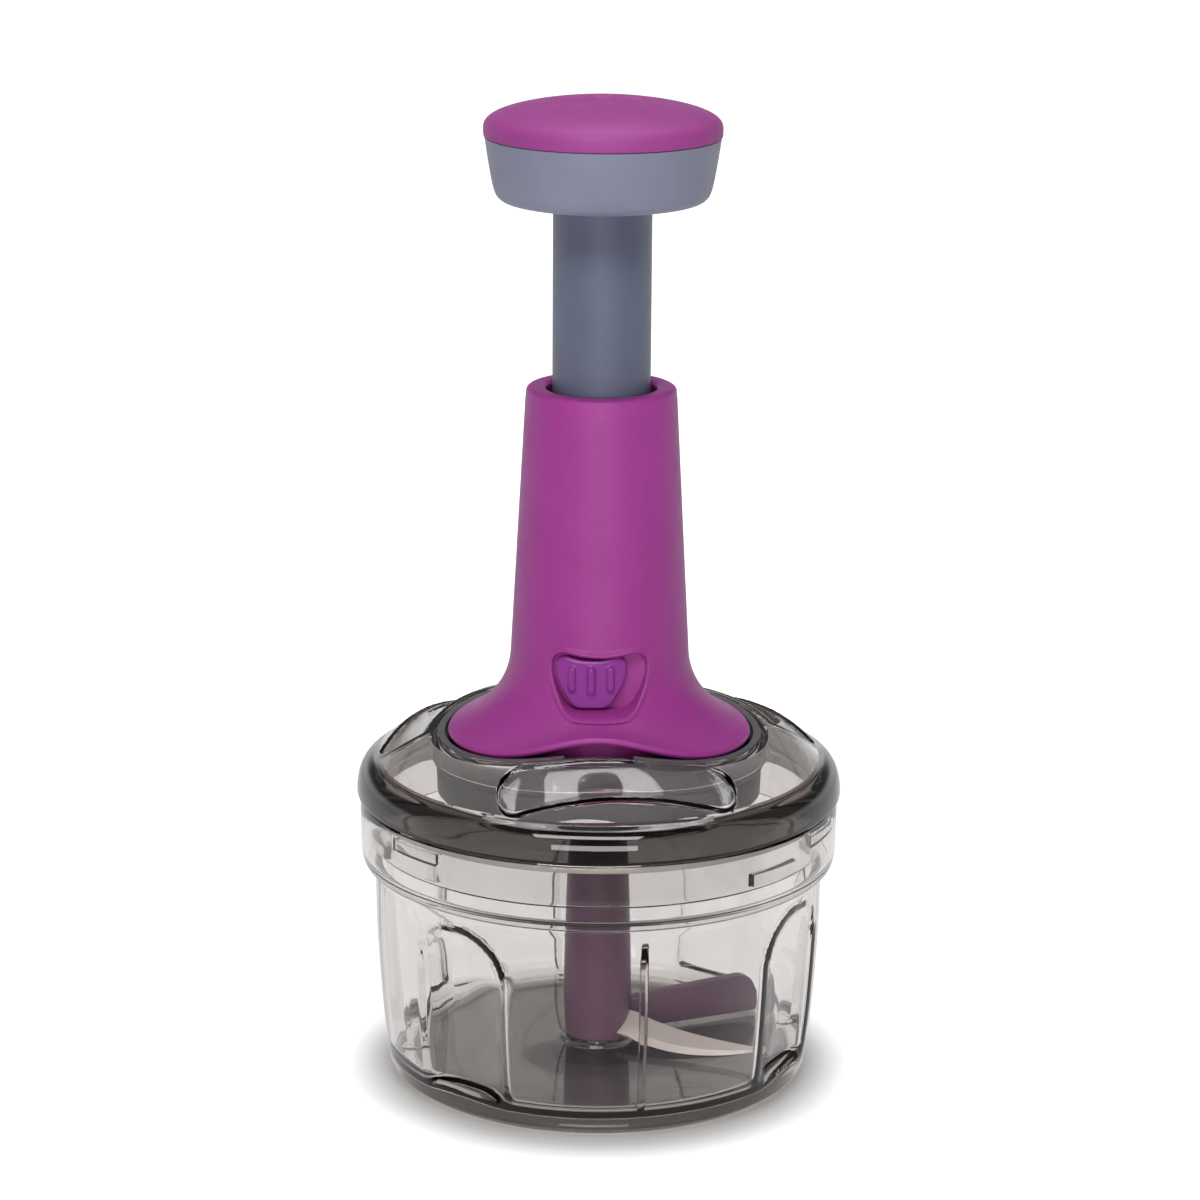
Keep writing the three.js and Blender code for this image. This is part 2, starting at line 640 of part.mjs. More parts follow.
// Plunger: tube, drive nut and knob
const tubeWall = 2.5;
const tubeBore = tubeRadius - tubeWall;
const nutFlange = 1.7;
const nutThickness = 6;
const nutGap = 2.4; // between the nut and the drive screw's flange with the plunger down
const screwFlangeRise = 9; // over the housing's floor
const screwFlangeTop = hubFloorTop + screwFlangeRise;
const tubeBottom = screwFlangeTop + nutGap + nutFlange + seat + stroke;
const knobHubDrop = 6; // below the knob's seam
const knobHubTop = knobSeam - knobHubDrop;
const flangeWidth = 4;
const flangeRadius = tubeRadius + flangeWidth;
const flangeRise = 2.2;
const flangeTop = knobHubTop + flangeRise;
const channelDepth = 1; // of the lock tongue's channel in the tube's wall
const channelSpare = 0.2;

// An open channel for the lock tongue, with a side pocket that holds the pressed plunger
function tongueChannel() {
  const half = tongueHalfWidth + running + channelSpare;
  const tall = tongueHalfHeight + running;
  const pocket = lockHeight + stroke;
  const depth = [-tubeRadius - overrun, -tubeBore - channelDepth + tubeWall];
  const channel = box([restShift - half, restShift + half], depth, [tubeBottom - overrun, pocket + tall]);
  const side = box([restShift - half, restShift + lockTravel + half], depth, [pocket - tall, pocket + tall]);
  return solid(channel).add(solid(side));
}

const knobScrewInset = 1.9;
const knobScrewCircle = flangeRadius - knobScrewInset;
const knobScrewRadius = 1.1;
const knobScrewLength = 7;
const knobScrewHoles = () => {
  const bottom = knobHubTop - knobScrewLength - chamfer;
  return screwHoles(knobScrewRadius + seat, knobScrewCircle, bottom, flangeTop + overrun);
};

function plungerTube() {
  const tube = lathe([
    [tubeRadius - edge, tubeBottom], [tubeRadius, tubeBottom + edge], [tubeRadius, knobHubTop + seat],
    [flangeRadius, knobHubTop + seat], [flangeRadius, flangeTop],
    [tubeBore, flangeTop], [tubeBore, tubeBottom], [tubeRadius - edge, tubeBottom],
  ], medium);
  return surface(cutAll(solid(tube), [tongueChannel(), ...knobScrewHoles()]));
}

// Twisted flat bar: one full turn for each screw lead
const screwLead = stroke / screwTurns;
const barWidth = 8;
const barThickness = 2.6;
const barRise = 17; // over the raised tube's lower end
const barTop = tubeBottom + barRise;
const slotGap = 0.6;
const stepsPerTurn = 32;

function twistedBar(width, thickness, bottom, top) {
  const steps = Math.round(((top - bottom) / screwLead) * stepsPerTurn);
  const bar = new THREE.BoxGeometry(width, thickness, top - bottom, 1, 1, steps);
  return reshape(bar.translate(0, 0, (bottom + top) / 2), (x, y, z) => {
    const angle = (fullTurn * z) / screwLead;
    return [x * Math.cos(angle) - y * Math.sin(angle), x * Math.sin(angle) + y * Math.cos(angle), z];
  });
}

function driveNut() {
  const [flangeBottom, flangeUp] = [tubeBottom - seat - nutFlange, tubeBottom - seat];
  const flangeOut = tongueTip - running;
  const body = tubeBore - seat;
  const top = tubeBottom + nutThickness;
  const disc = lathe([
    [0, flangeBottom], [flangeOut, flangeBottom], [flangeOut, flangeUp],
    [body, flangeUp], [body, top], [0, top],
  ], medium);
  const slot = twistedBar(barWidth + 2 * slotGap, barThickness + 2 * slotGap, screwFlangeTop, barTop);
  return surface(solid(disc).subtract(solid(slot)));
}

// Profiles of the knob's base, in from its radius and up from its underside
const knobSide = [[8, 0], [5, 0.9], [3.2, 3.6], [1.7, 11], [0.4, knobBaseHeight - edge / 2]];
const knobInside = [[2.6, knobBaseHeight - edge / 2], [4, 11], [5.6, 5], [7.4, 3]];

function knobBase() {
  const bore = tubeRadius + seat;
  const hub = flangeRadius + 1;
  const floor = knobUnderside + knobInside[knobInside.length - 1][1];
  const base = lathe([
    [bore, knobUnderside + edge],
    ...[...knobSide, ...knobInside].map(([inward, up]) => [knobRadius - inward, knobUnderside + up]),
    [hub, floor], [hub, knobHubTop], [bore, knobHubTop], [bore, knobUnderside + edge],
  ], fine);
  return surface(cutAll(solid(base), knobScrewHoles()));
}

const plugDrop = 11.8; // below the knob's seam
const plugBottom = knobSeam - plugDrop;
const plugGap = 0.6;
const plugRadius = tubeBore - plugGap;
const capRim = 2; // height of the cap's upright edge
const screwHeadSpace = 2; // between the tube's flange and the cap
const capUnderside = flangeTop + screwHeadSpace;
const capSkirtDrop = 2.8;
const capSkirt = [6, 4]; // outside and inside edges of the cap's inner skirt, in from the knob's radius
const capSeamInset = 3.4;
const crownSteps = 6;
const crownRadiusPower = 0.62;
const crownHeightPower = 0.72;
const badgeHalf = [18.5, 5];
const badgeCorner = 2;
const badgeDrop = 1.5; // of the bare badge panel's floor, below the cap's top

function roundedRectangle(halfX, halfY, corner) {
  const shape = new THREE.Shape();
  shape.absarc(halfX - corner, halfY - corner, corner, 0, quarterTurn, false);
  shape.absarc(-halfX + corner, halfY - corner, corner, quarterTurn, 2 * quarterTurn, false);
  shape.absarc(-halfX + corner, -halfY + corner, corner, 2 * quarterTurn, 3 * quarterTurn, false);
  shape.absarc(halfX - corner, -halfY + corner, corner, 3 * quarterTurn, fullTurn, false);
  return shape;
}

function knobCap() {
  const crown = listOf(crownSteps, (i) => i / crownSteps).map((share) => [
    knobRadius * Math.cos(share * quarterTurn) ** crownRadiusPower,
    knobSeam + capRim + (knobDomeHeight - capRim) * share ** crownHeightPower,
  ]);
  const [skirtIn, skirtOut] = capSkirt.map((inward) => knobRadius - inward);
  const cap = lathe([
    [0, plugBottom], [plugRadius, plugBottom], [plugRadius, capUnderside], [skirtIn, capUnderside],
    [skirtIn, capUnderside - capSkirtDrop], [skirtOut, capUnderside - capSkirtDrop],
    [knobRadius - capSeamInset, knobSeam], [knobRadius - edge / 2, knobSeam], ...crown, [0, totalHeight],
  ], fine);
  const badge = prism(roundedRectangle(...badgeHalf, badgeCorner), overrun, arcSteps);
  return surface(solid(cap).subtract(solid(badge.translate(0, 0, totalHeight - badgeDrop))));
}

// Drive screw and one-way clutch with saw teeth
const toothCount = 12;
const toothHeight = 1.4;
const toothFlankShare = 0.82; // of the pitch rises, the rest drops
const clutchRadius = 11;
const washerSpace = 1;
const clutchFloor = hubFloorTop + washerSpace;
const clutchThickness = 2.6; // of the driver's disc under its teeth
const clutchRoot = clutchFloor + clutchThickness;
const clutchGap = 0.5;
const journalRadius = 2.2;
const journalHeight = 3;
const socketRadius = 5.8;
const socketDepth = 9.8;
const stemDrop = 3.8; // below the housing's floor
const stemTop = hubFloor - stemDrop;
const socketBottom = stemTop - socketDepth;
const dogRadius = 2.7;
const dogBottom = socketBottom + chamfer;
const earHalfWidth = 1.1;
const earGap = 0.6; // between the dog's ears and the socket
const earReach = socketRadius - earGap;
const earHeight = 6.5;

const toothStations = [
  ...listOf(toothCount, (i) => [i, i + toothFlankShare].map((step) => (fullTurn * step) / toothCount)).flat(),
  fullTurn,
];

function toothRise(azimuth) {
  const share = ((azimuth / fullTurn) * toothCount) % 1;
  return share > toothFlankShare / 2 && share < (1 + toothFlankShare) / 2 ? toothHeight : 0;
}

function driveScrew() {
  const gapTop = clutchRoot + clutchGap;
  const flange = revolve((azimuth) => [
    [0, gapTop + toothHeight], [clutchRadius / 2, gapTop + toothHeight],
    [clutchRadius / 2, gapTop + toothRise(azimuth)], [clutchRadius, gapTop + toothRise(azimuth)],
    [clutchRadius, screwFlangeTop - chamfer], [clutchRadius - chamfer, screwFlangeTop], [0, screwFlangeTop],
  ], 0, toothStations);
  const bar = twistedBar(barWidth, barThickness, screwFlangeTop - chamfer, barTop);
  const journal = cylinder(journalRadius, barTop - chamfer, barTop + journalHeight, tiny);
  return surface(joinAll(solid(flange), [solid(bar), solid(journal)]));
}

function clutchDriver() {
  const disc = revolve((azimuth) => [
    [0, clutchFloor], [clutchRadius, clutchFloor], [clutchRadius, clutchRoot + toothRise(azimuth)],
    [clutchRadius / 2, clutchRoot + toothRise(azimuth)], [clutchRadius / 2, clutchRoot], [0, clutchRoot],
  ], 0, toothStations);
  const shaft = cylinder(shaftRadius, hubFloor - chamfer, clutchFloor + chamfer, coarse);
  const tail = cylinder(dogRadius, dogBottom, hubFloor, coarse);
  const ears = box([-earHalfWidth, earHalfWidth], [-earReach, earReach], [dogBottom, dogBottom + earHeight]);
  return surface(joinAll(solid(disc), [solid(shaft), solid(tail), solid(ears)]));
}

const washerInset = 2; // from the clutch's rim

function thrustWasher() {
  const [inner, outer] = [shaftRadius + seat, clutchRadius - washerInset];
  const [bottom, top] = [hubFloorTop + seat / 2, clutchFloor - seat / 2];
  return lathe([[outer, bottom], [outer, top], [inner, top], [inner, bottom], [outer, bottom]], coarse);
}

const cupBottom = barTop + journalHeight + seat;
const cupGap = 0.7; // inside the tube
const cupRadius = tubeBore - cupGap;
const cupHeight = 5;
const cupFloor = 2.6;
const cupWall = 0.9;

function springCup() {
  const inner = cupRadius - cupWall;
  return lathe([
    [0, cupBottom], [cupRadius - chamfer, cupBottom], [cupRadius, cupBottom + chamfer],
    [cupRadius, cupBottom + cupHeight], [inner, cupBottom + cupHeight], [inner, cupBottom + cupFloor],
    [0, cupBottom + cupFloor],
  ], coarse);
}

const springWire = 0.75; // radius of the wire
const springInset = 3.1; // from the tube's bore to the middle of the wire
const springRadius = tubeBore - springInset;
const springCoils = 11;
const stepsPerCoil = 8;
const wireSides = 5;

// One unbroken wire from the cup up to the plug of the knob cap
function returnSpring() {
  const bottom = cupBottom + cupFloor + seat + springWire;
  const top = plugBottom - seat - springWire;
  const steps = springCoils * stepsPerCoil;
  const middles = listOf(steps + 1, (i) => {
    const angle = (fullTurn * i) / stepsPerCoil;
    const height = lerp(bottom, top, i / steps);
    return new THREE.Vector3(springRadius * Math.cos(angle), springRadius * Math.sin(angle), height);
  });
  const corners = middles.flatMap((middle, i) => listOf(wireSides, (j) => {
    const angle = (fullTurn * i) / stepsPerCoil;
    const around = (fullTurn * j) / wireSides;
    const r = springRadius + springWire * Math.cos(around);
    return [r * Math.cos(angle), r * Math.sin(angle), middle.z + springWire * Math.sin(around)];
  })).flat();
  const faces = [];
  for (let i = 0; i < steps; i += 1) {
    for (let j = 0; j < wireSides; j += 1) {
      const [a, b] = [i * wireSides + j, i * wireSides + ((j + 1) % wireSides)];
      faces.push(a, a + wireSides, b, b, a + wireSides, b + wireSides);
    }
  }
  for (let j = 1; j < wireSides - 1; j += 1) {
    const last = steps * wireSides;
    faces.push(0, j, j + 1, last, last + j + 1, last + j);
  }
  const geometry = new THREE.BufferGeometry();
  geometry.setAttribute('position', new THREE.Float32BufferAttribute(corners, 3));
  geometry.setIndex(faces);
  geometry.computeVertexNormals();
  let least = Infinity;
  middles.forEach((here, i) => middles.slice(i + stepsPerCoil / 2).forEach((there) => {
    least = Math.min(least, here.distanceTo(there) - 2 * springWire);
  }));
  console.log(`return spring: least gap between coils ${least.toFixed(2)} mm`);
  return geometry;
}

// Blade set
const stemGap = 0.5; // over the disc in the bowl's floor
const stemBottom = pinDiscTop + stemGap;
const stemRun = [[10.1, 0], [10.3, 6], [10.7, 13.3], [10.4, 29.3], [9.8, 49.3]]; // radius, up from the bottom
const stemNeck = [[9.1, 6], [9, 0.6], [8.4, 0]]; // radius, down from the top
const bladeMargin = 15.9; // from the bowl's radius to the blade tips
const bladeReach = bowlRadius - bladeMargin;
const bladeThickness = 1.2;
const bladeTang = 9;
const bladeRootStart = 4.6;
const bladeRootEnd = 13;
const sickleMiddles = [0.62, 0.5]; // shares of the reach where the edge and the back bend
const sickleBow = [3.5, 3]; // how far edge and back bow at their middles
const tipWidth = 1.4;
const tipSlant = 0.8;
const lowerBlade = { azimuth: 62, height: 16.2, tilt: 38, droop: 6 };
const upperBlade = { azimuth: 188, height: 36, tilt: 22, droop: 0 };
const paddleAzimuth = 113;
const paddleThickness = 4;
const paddleRootStart = 7.4;
const paddleBottom = pinDiscTop;
const paddleHeight = 12.3;
const paddleTop = paddleBottom + paddleHeight;
const paddleToe = [4, 2, 2]; // beyond the blade's reach: at the toe, at the bottom, and the toe's height
const paddleShoulder = [5, 2]; // in and down from the outer top corner

function sickle() {
  const half = bladeTang / 2;
  const [edgeMiddle, backMiddle] = sickleMiddles.map((share) => bladeReach * share);
  const shape = new THREE.Shape();
  shape.moveTo(bladeRootStart, -half);
  shape.lineTo(bladeRootEnd, -half);
  shape.quadraticCurveTo(edgeMiddle, -half - sickleBow[0], bladeReach, half + edge - tipWidth);
  shape.lineTo(bladeReach - tipSlant, half + edge);
  shape.quadraticCurveTo(backMiddle, half - sickleBow[1], bladeRootEnd, half);
  shape.lineTo(bladeRootStart, half);
  shape.closePath();
  return shape;
}

function placeBlade(geometry, { azimuth, height, tilt, droop }) {
  return toAzimuth(geometry.rotateX(rad(tilt)).rotateY(rad(droop)).translate(0, 0, height), azimuth);
}

function blade(place) {
  const plate = prism(sickle(), bladeThickness, 2 * arcSteps).translate(0, 0, -bladeThickness / 2);
  return placeBlade(plate, place);
}

function bladeSlot(place) {
  const half = bladeTang / 2 + seat;
  const deep = bladeThickness / 2 + seat;
  return solid(placeBlade(box([bladeRootStart - seat, bladeRootEnd], [-half, half], [-deep, deep]), place));
}

function paddleArm() {
  const [toe, heel, toeHeight] = paddleToe;
  const [inward, down] = paddleShoulder;
  const shape = new THREE.Shape();
  shape.moveTo(paddleRootStart, paddleBottom);
  shape.lineTo(bladeReach + heel, paddleBottom);
  shape.lineTo(bladeReach + toe, paddleBottom + toeHeight);
  shape.lineTo(bladeReach, paddleTop - down);
  shape.quadraticCurveTo(bladeReach - down, paddleTop, bladeReach - inward, paddleTop);
  shape.lineTo(paddleRootStart, paddleTop - down);
  shape.closePath();
  return toAzimuth(frontPrism(shape, -paddleThickness / 2, paddleThickness, arcSteps), paddleAzimuth);
}

function bladeStem() {
  const bore = pinRadius + seat;
  const boreTop = pinTop + 2 * seat;
  const body = lathe([
    [0, boreTop], [bore, boreTop], [bore, stemBottom], ...stemRun.map(([r, up]) => [r, stemBottom + up]),
    ...stemNeck.map(([r, down]) => [r, stemTop - down]), [socketRadius + edge, stemTop],
    [socketRadius, stemTop - edge], [socketRadius, socketBottom], [0, socketBottom],
  ], coarse);
  const fins = [-1, 1].map((side) => {
    const span = [dogRadius + chamfer, socketRadius + chamfer].map((r) => side * r).sort((a, b) => a - b);
    return solid(box(span, [-earHalfWidth, earHalfWidth], [socketBottom - edge, stemTop - chamfer]));
  });
  const half = paddleThickness / 2 + seat;
  const slot = box([paddleRootStart - seat, bladeRootEnd], [-half, half], [stemBottom - overrun, paddleTop]);
  const cuts = [bladeSlot(lowerBlade), bladeSlot(upperBlade), solid(toAzimuth(slot, paddleAzimuth))];
  return surface(cutAll(joinAll(solid(body), fins), cuts));
}

// Screws
const headShares = [0.35, 0.6]; // height of the head's edge and of its top, against the head's radius
const screwPoint = 1.5;
const housingScrewHead = 3.2;
const housingScrewLength = 13;
const knobScrewHead = 1.7;

function panScrew(radius, headRadius, length) {
  const [side, top] = headShares.map((share) => headRadius * share);
  return surface(solid(lathe([
    [0, -length], [radius / 2, -length], [radius, -length + screwPoint], [radius, 0], [headRadius, 0],
    [headRadius, side], [top, top], [0, top],
  ], tiny)));
}

function housingScrew(azimuth) {
  const screw = panScrew(screwRadius, housingScrewHead, housingScrewLength).rotateX(2 * quarterTurn);
  return toAzimuth(screw.translate(screwCircle, 0, hubFloor - seat), azimuth);
}

function knobScrew(azimuth) {
  const screw = panScrew(knobScrewRadius, knobScrewHead, knobScrewLength);
  return toAzimuth(screw.translate(knobScrewCircle, 0, flangeTop + seat), azimuth);
}

// Materials as [colour, roughness, metalness]
const purple = [0xa04094, 0.45, 0];
const slate = [0x6c7286, 0.5, 0];
const hubGrey = [0x5a5a5a, 0.5, 0];
const smoky = [0x8c8680, 0.12, 0];
const padGrey = [0x4a4846, 0.8, 0];
const silicone = [0xb4b1ac, 0.6, 0];
const stemPurple = [0x8a4f86, 0.4, 0];
const steel = [0xcdc6be, 0.25, 1];
const nylon = [0xe6e4dc, 0.5, 0];
const black = [0x222222, 0.5, 0];

function piece(name, geometry, [color, roughness, metalness]) {
  const mesh = new THREE.Mesh(geometry, new THREE.MeshStandardMaterial({ color, roughness, metalness }));
  mesh.name = name;
  return mesh;
}

const chopper = new THREE.Group();
chopper.name = 'plunger_chopper';

const bowlGroup = new THREE.Group();
bowlGroup.add(
  piece('bowl', bowl(), smoky),
  piece('base_pad', basePad(), padGrey),
  piece('blade_pin', bladePin(), steel),
);

const bladeGroup = new THREE.Group();
bladeGroup.add(
  piece('blade_stem', bladeStem(), stemPurple),
  piece('lower_blade', blade(lowerBlade), steel),
  piece('upper_blade', blade(upperBlade), steel),
  piece('paddle_arm', paddleArm(), stemPurple),
);

const lidGroup = new THREE.Group();
lidGroup.add(
  piece('lid', lid(), smoky),
  piece('lid_seal', lidSeal(), silicone),
  piece('hub_housing', hubHousing(), hubGrey),
  piece('handle_column', handleColumn(), purple),
  piece('guide_bush', guideBush(), black),
  piece('lock_slider', lockSlider(), purple),
);
screwAzimuths.forEach((azimuth, i) => {
  lidGroup.add(piece(`housing_screw_${i + 1}`, housingScrew(azimuth), steel));
});

const driveGroup = new THREE.Group();
driveGroup.add(
  piece('drive_screw', driveScrew(), steel),
  piece('clutch_driver', clutchDriver(), nylon),
  piece('thrust_washer', thrustWasher(), steel),
  piece('spring_cup', springCup(), nylon),
  piece('return_spring', returnSpring(), steel),
);

const plungerGroup = new THREE.Group();
plungerGroup.add(
  piece('plunger_tube', plungerTube(), slate),
  piece('drive_nut', driveNut(), nylon),
  piece('knob_base', knobBase(), slate),
  piece('knob_cap', knobCap(), purple),
);
screwAzimuths.forEach((azimuth, i) => {
  plungerGroup.add(piece(`knob_screw_${i + 1}`, knobScrew(azimuth), steel));
});

chopper.add(bowlGroup, bladeGroup, lidGroup, driveGroup, plungerGroup);

export default chopper;
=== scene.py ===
import math
import bmesh
import bpy
import numpy as np
from mathutils import Matrix, Quaternion, Vector


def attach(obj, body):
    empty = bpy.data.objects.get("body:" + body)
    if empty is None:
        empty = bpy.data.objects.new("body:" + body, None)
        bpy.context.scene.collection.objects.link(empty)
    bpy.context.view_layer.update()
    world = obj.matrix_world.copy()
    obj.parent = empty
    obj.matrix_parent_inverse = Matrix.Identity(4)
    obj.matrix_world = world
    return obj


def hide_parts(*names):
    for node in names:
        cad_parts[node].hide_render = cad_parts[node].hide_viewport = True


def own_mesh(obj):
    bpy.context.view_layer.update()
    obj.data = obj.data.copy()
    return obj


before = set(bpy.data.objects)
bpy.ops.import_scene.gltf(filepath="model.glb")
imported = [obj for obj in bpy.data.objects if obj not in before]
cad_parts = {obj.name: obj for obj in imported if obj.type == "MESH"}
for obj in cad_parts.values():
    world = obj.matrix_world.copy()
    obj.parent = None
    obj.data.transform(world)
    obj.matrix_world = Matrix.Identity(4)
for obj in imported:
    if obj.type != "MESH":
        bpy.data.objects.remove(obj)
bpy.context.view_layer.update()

# Lengths below are in millimetres and azimuths in degrees from the front (-Y) towards the right (+X).
mm = 0.001


def lerp(a, b, share):
    return a + (b - a) * share


def smooth(value, low, high):
    share = np.clip((value - low) / (high - low), 0, 1)
    return share * share * (3 - 2 * share)


# Azimuth measured from a centre, from -180 to 180 degrees
def fromCentre(azimuth, centre):
    return (azimuth - centre + 180) % 360 - 180


# Profiles are lists of [radius, height].
def bezier(start, middle, end, steps):
    run = []
    for i in range(steps + 1):
        share = i / steps
        run.append([
            lerp(lerp(s, m, share), lerp(m, e, share), share) for s, m, e in zip(start, middle, end)
        ])
    return run


# A smooth run through every point
def spline(points, steps):
    p = np.array(points, float)
    p = np.vstack([2 * p[0] - p[1], p, 2 * p[-1] - p[-2]])
    run = []
    for i in range(1, len(p) - 2):
        for k in range(steps):
            t = k / steps
            run.append(list(0.5 * (
                2 * p[i] + (p[i + 1] - p[i - 1]) * t
                + (2 * p[i - 1] - 5 * p[i] + 4 * p[i + 1] - p[i + 2]) * t ** 2
                + (3 * p[i] - p[i - 1] - 3 * p[i + 1] + p[i + 2]) * t ** 3
            )))
    run.append(list(p[-2]))
    return run


# Rounds the corners [radius, height, rounding] of an outline
def rounded(corners, closed=False, steps=4):
    run = []
    count = len(corners)
    for i, corner in enumerate(corners):
        here = np.array(corner[:2], float)
        size = corner[2] if len(corner) > 2 else 0
        if size <= 0 or (not closed and i in (0, count - 1)):
            run.append(list(here))
            continue
        before = np.array(corners[i - 1][:2], float) - here
        after = np.array(corners[(i + 1) % count][:2], float) - here
        sizeIn = min(size, 0.48 * np.linalg.norm(before))
        sizeOut = min(size, 0.48 * np.linalg.norm(after))
        start = here + before / np.linalg.norm(before) * sizeIn
        end = here + after / np.linalg.norm(after) * sizeOut
        run.extend(bezier(list(start), list(here), list(end), steps))
    return run


def newObject(name, data):
    made = bpy.data.objects.new(name, data)
    bpy.context.scene.collection.objects.link(made)
    return made


# Faces between two rings of points, from the indices of their first points
def bridge(first, second, count):
    return [[first + i, first + (i + 1) % count, second + (i + 1) % count, second + i] for i in range(count)]


def finishMesh(name, points, faces, sharpAngle=32):
    mesh = bpy.data.meshes.new(name)
    mesh.from_pydata((np.asarray(points, float) * mm).tolist(), [], faces)
    mesh.validate()
    form = bmesh.new()
    form.from_mesh(mesh)
    bmesh.ops.recalc_face_normals(form, faces=form.faces)
    if form.calc_volume(signed=True) < 0:
        bmesh.ops.reverse_faces(form, faces=form.faces)
    form.to_mesh(mesh)
    form.free()
    smoothMesh(mesh, sharpAngle)
    return newObject(name, mesh)


def smoothMesh(mesh, sharpAngle):
    mesh.polygons.foreach_set("use_smooth", [True] * len(mesh.polygons))
    mesh.set_sharp_from_angle(angle=math.radians(sharpAngle))


# Turns a profile round the axis. A point on the axis in every profile becomes one vertex.
def revolve(name, profileAt, azimuths, closed=True, reshape=None):
    profiles = np.array([profileAt(a) for a in azimuths], float)
    turn = np.radians(azimuths)[:, None]
    radius, height = profiles[..., 0], profiles[..., 1]
    points = np.stack([radius * np.sin(turn), -radius * np.cos(turn), height], -1)
    if reshape:
        points = reshape(points)
    count, length = radius.shape
    index = np.arange(count * length).reshape(count, length)
    for j in range(length):
        if np.all(np.abs(radius[:, j]) < 1e-6):
            index[:, j] = index[0, j]
    faces = []
    for i in range(count):
        k = (i + 1) % count
        for j in range(length if closed else length - 1):
            n = (j + 1) % length
            corners = [index[i, j], index[k, j], index[k, n], index[i, n]]
            face = [int(c) for m, c in enumerate(corners) if c != corners[m - 1]]
            if len(face) > 2:
                faces.append(face)
    return finishMesh(name, points.reshape(-1, 3), faces)


def around(count):
    return [360 * i / count for i in range(count)]


# Azimuths all round, with closer ones in zones of (middle, half width, step)
def withDense(base, zones):
    azimuths = set(round(a, 4) for a in base)
    for middle, half, step in zones:
        for i in range(int(2 * half / step) + 1):
            azimuths.add(round((middle - half + i * step) % 360, 4))
    kept = []
    for a in sorted(azimuths):
        if not kept or a - kept[-1] > 0.02:
            kept.append(a)
    return kept


# Turns the modifiers of a piece into plain mesh
def applyAll(piece, sharpAngle=32):
    graph = bpy.context.evaluated_depsgraph_get()
    mesh = bpy.data.meshes.new_from_object(piece.evaluated_get(graph))
    piece.modifiers.clear()
    piece.data = mesh
    smoothMesh(mesh, sharpAngle)


def combine(piece, tools, operation, sharpAngle=32):
    for tool in tools:
        change = piece.modifiers.new("combine", "BOOLEAN")
        change.operation = operation
        change.solver = "EXACT"
        change.object = tool
    applyAll(piece, sharpAngle)
    for tool in tools:
        bpy.data.objects.remove(tool)


# A plate from an outline, where toPoint turns (u, v, depth) into (x, y, z)
def extruded(name, outline, low, high, toPoint=lambda u, v, d: (u, v, d), bevel=0.0):
    count = len(outline)
    points = [toPoint(u, v, depth) for depth in (low, high) for u, v in outline]
    ends = [list(range(count))[::-1], list(range(count, 2 * count))]
    piece = finishMesh(name, points, ends + bridge(0, count, count))
    if bevel:
        edge = piece.modifiers.new("bevel", "BEVEL")
        edge.width = bevel * mm
        edge.segments = 3
        edge.limit_method = "ANGLE"
        edge.angle_limit = math.radians(40)
        applyAll(piece, 40)
    return piece


# Places (along, across, height) at an azimuth
def turned(azimuth):
    a = math.radians(azimuth)
    return lambda along, across, height: (
        along * math.sin(a) + across * math.cos(a), -along * math.cos(a) + across * math.sin(a), height
    )


def rod(name, radius, low, high, azimuth, circle):
    a = math.radians(azimuth)
    outline = [(radius * math.cos(t), radius * math.sin(t)) for t in np.radians(around(32))]
    shift = (circle * math.sin(a), -circle * math.cos(a))
    return extruded(name, outline, low, high, lambda u, v, d: (u + shift[0], v + shift[1], d))


def block(name, xRange, yRange, zRange):
    (left, right), (front, back) = xRange, yRange
    outline = [(left, front), (right, front), (right, back), (left, back)]
    return extruded(name, outline, *zRange)


def place(piece, material, body, slot, *nodes):
    piece.data.materials.clear()
    piece.data.materials.append(material)
    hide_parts(*nodes)
    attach(piece, body)


# Materials
# A colour as the eye reads it, 0 to 255, in the linear values that a shader takes
def colour(red, green, blue):
    def linear(value):
        share = value / 255
        return share / 12.92 if share <= 0.04045 else ((share + 0.055) / 1.055) ** 2.4
    return (linear(red), linear(green), linear(blue), 1)


# A function that adds nodes to a tree, with inputs set to values or joined to the nodes or sockets given
def nodeAdder(tree, prefix="ShaderNode"):
    def add(kind, values=None, **settings):
        node = tree.nodes.new(prefix + kind)
        for key, value in settings.items():
            setattr(node, key, value)
        for key, value in (values or {}).items():
            if isinstance(value, bpy.types.Node):
                value = value.outputs[0]
            if isinstance(value, bpy.types.NodeSocket):
                tree.links.new(value, node.inputs[key])
            else:
                node.inputs[key].default_value = value
        return node
    return add


# An empty material, its function for adding nodes, and the point of the object that is shaded
def startMaterial(name):
    material = bpy.data.materials.new(name)
    material.use_nodes = True
    material.node_tree.nodes.clear()
    add = nodeAdder(material.node_tree)
    return material, add, add("TexCoord").outputs["Object"]


# Noise with spots of about a size in millimetres
def noise(add, point, size, detail, stretch=(1, 1, 1)):
    mapping = add("Mapping", {"Vector": point, "Scale": stretch})
    return add("TexNoise", {
        "Vector": mapping, "Scale": 1 / (size * mm), "Detail": detail, "Roughness": 0.55,
    })


def blendColours(add, factor, first, second):
    return add("Mix", {0: factor, 6: first, 7: second}, data_type="RGBA").outputs[2]


# The first value where the factor is 0 and the second where it is 1
def pick(add, factor, first, second):
    return add("Mix", {0: factor, 2: first, 3: second}, data_type="FLOAT")


# Eases a value from first, below a limit, to last, above another
def fade(add, value, low, high, first, last):
    values = {"Value": value, "From Min": low, "From Max": high, "To Min": first, "To Max": last}
    return add("MapRange", values, interpolation_type="SMOOTHSTEP")


# Size in millimetres and detail of the noise in colour and gloss
spots = {
    "cloud": [22, 3], "gloss": [6, 4], "smudge": [14, 4], "clearGloss": [5, 5], "steelCloud": [9, 3],
    "brush": [1.6, 3],
}


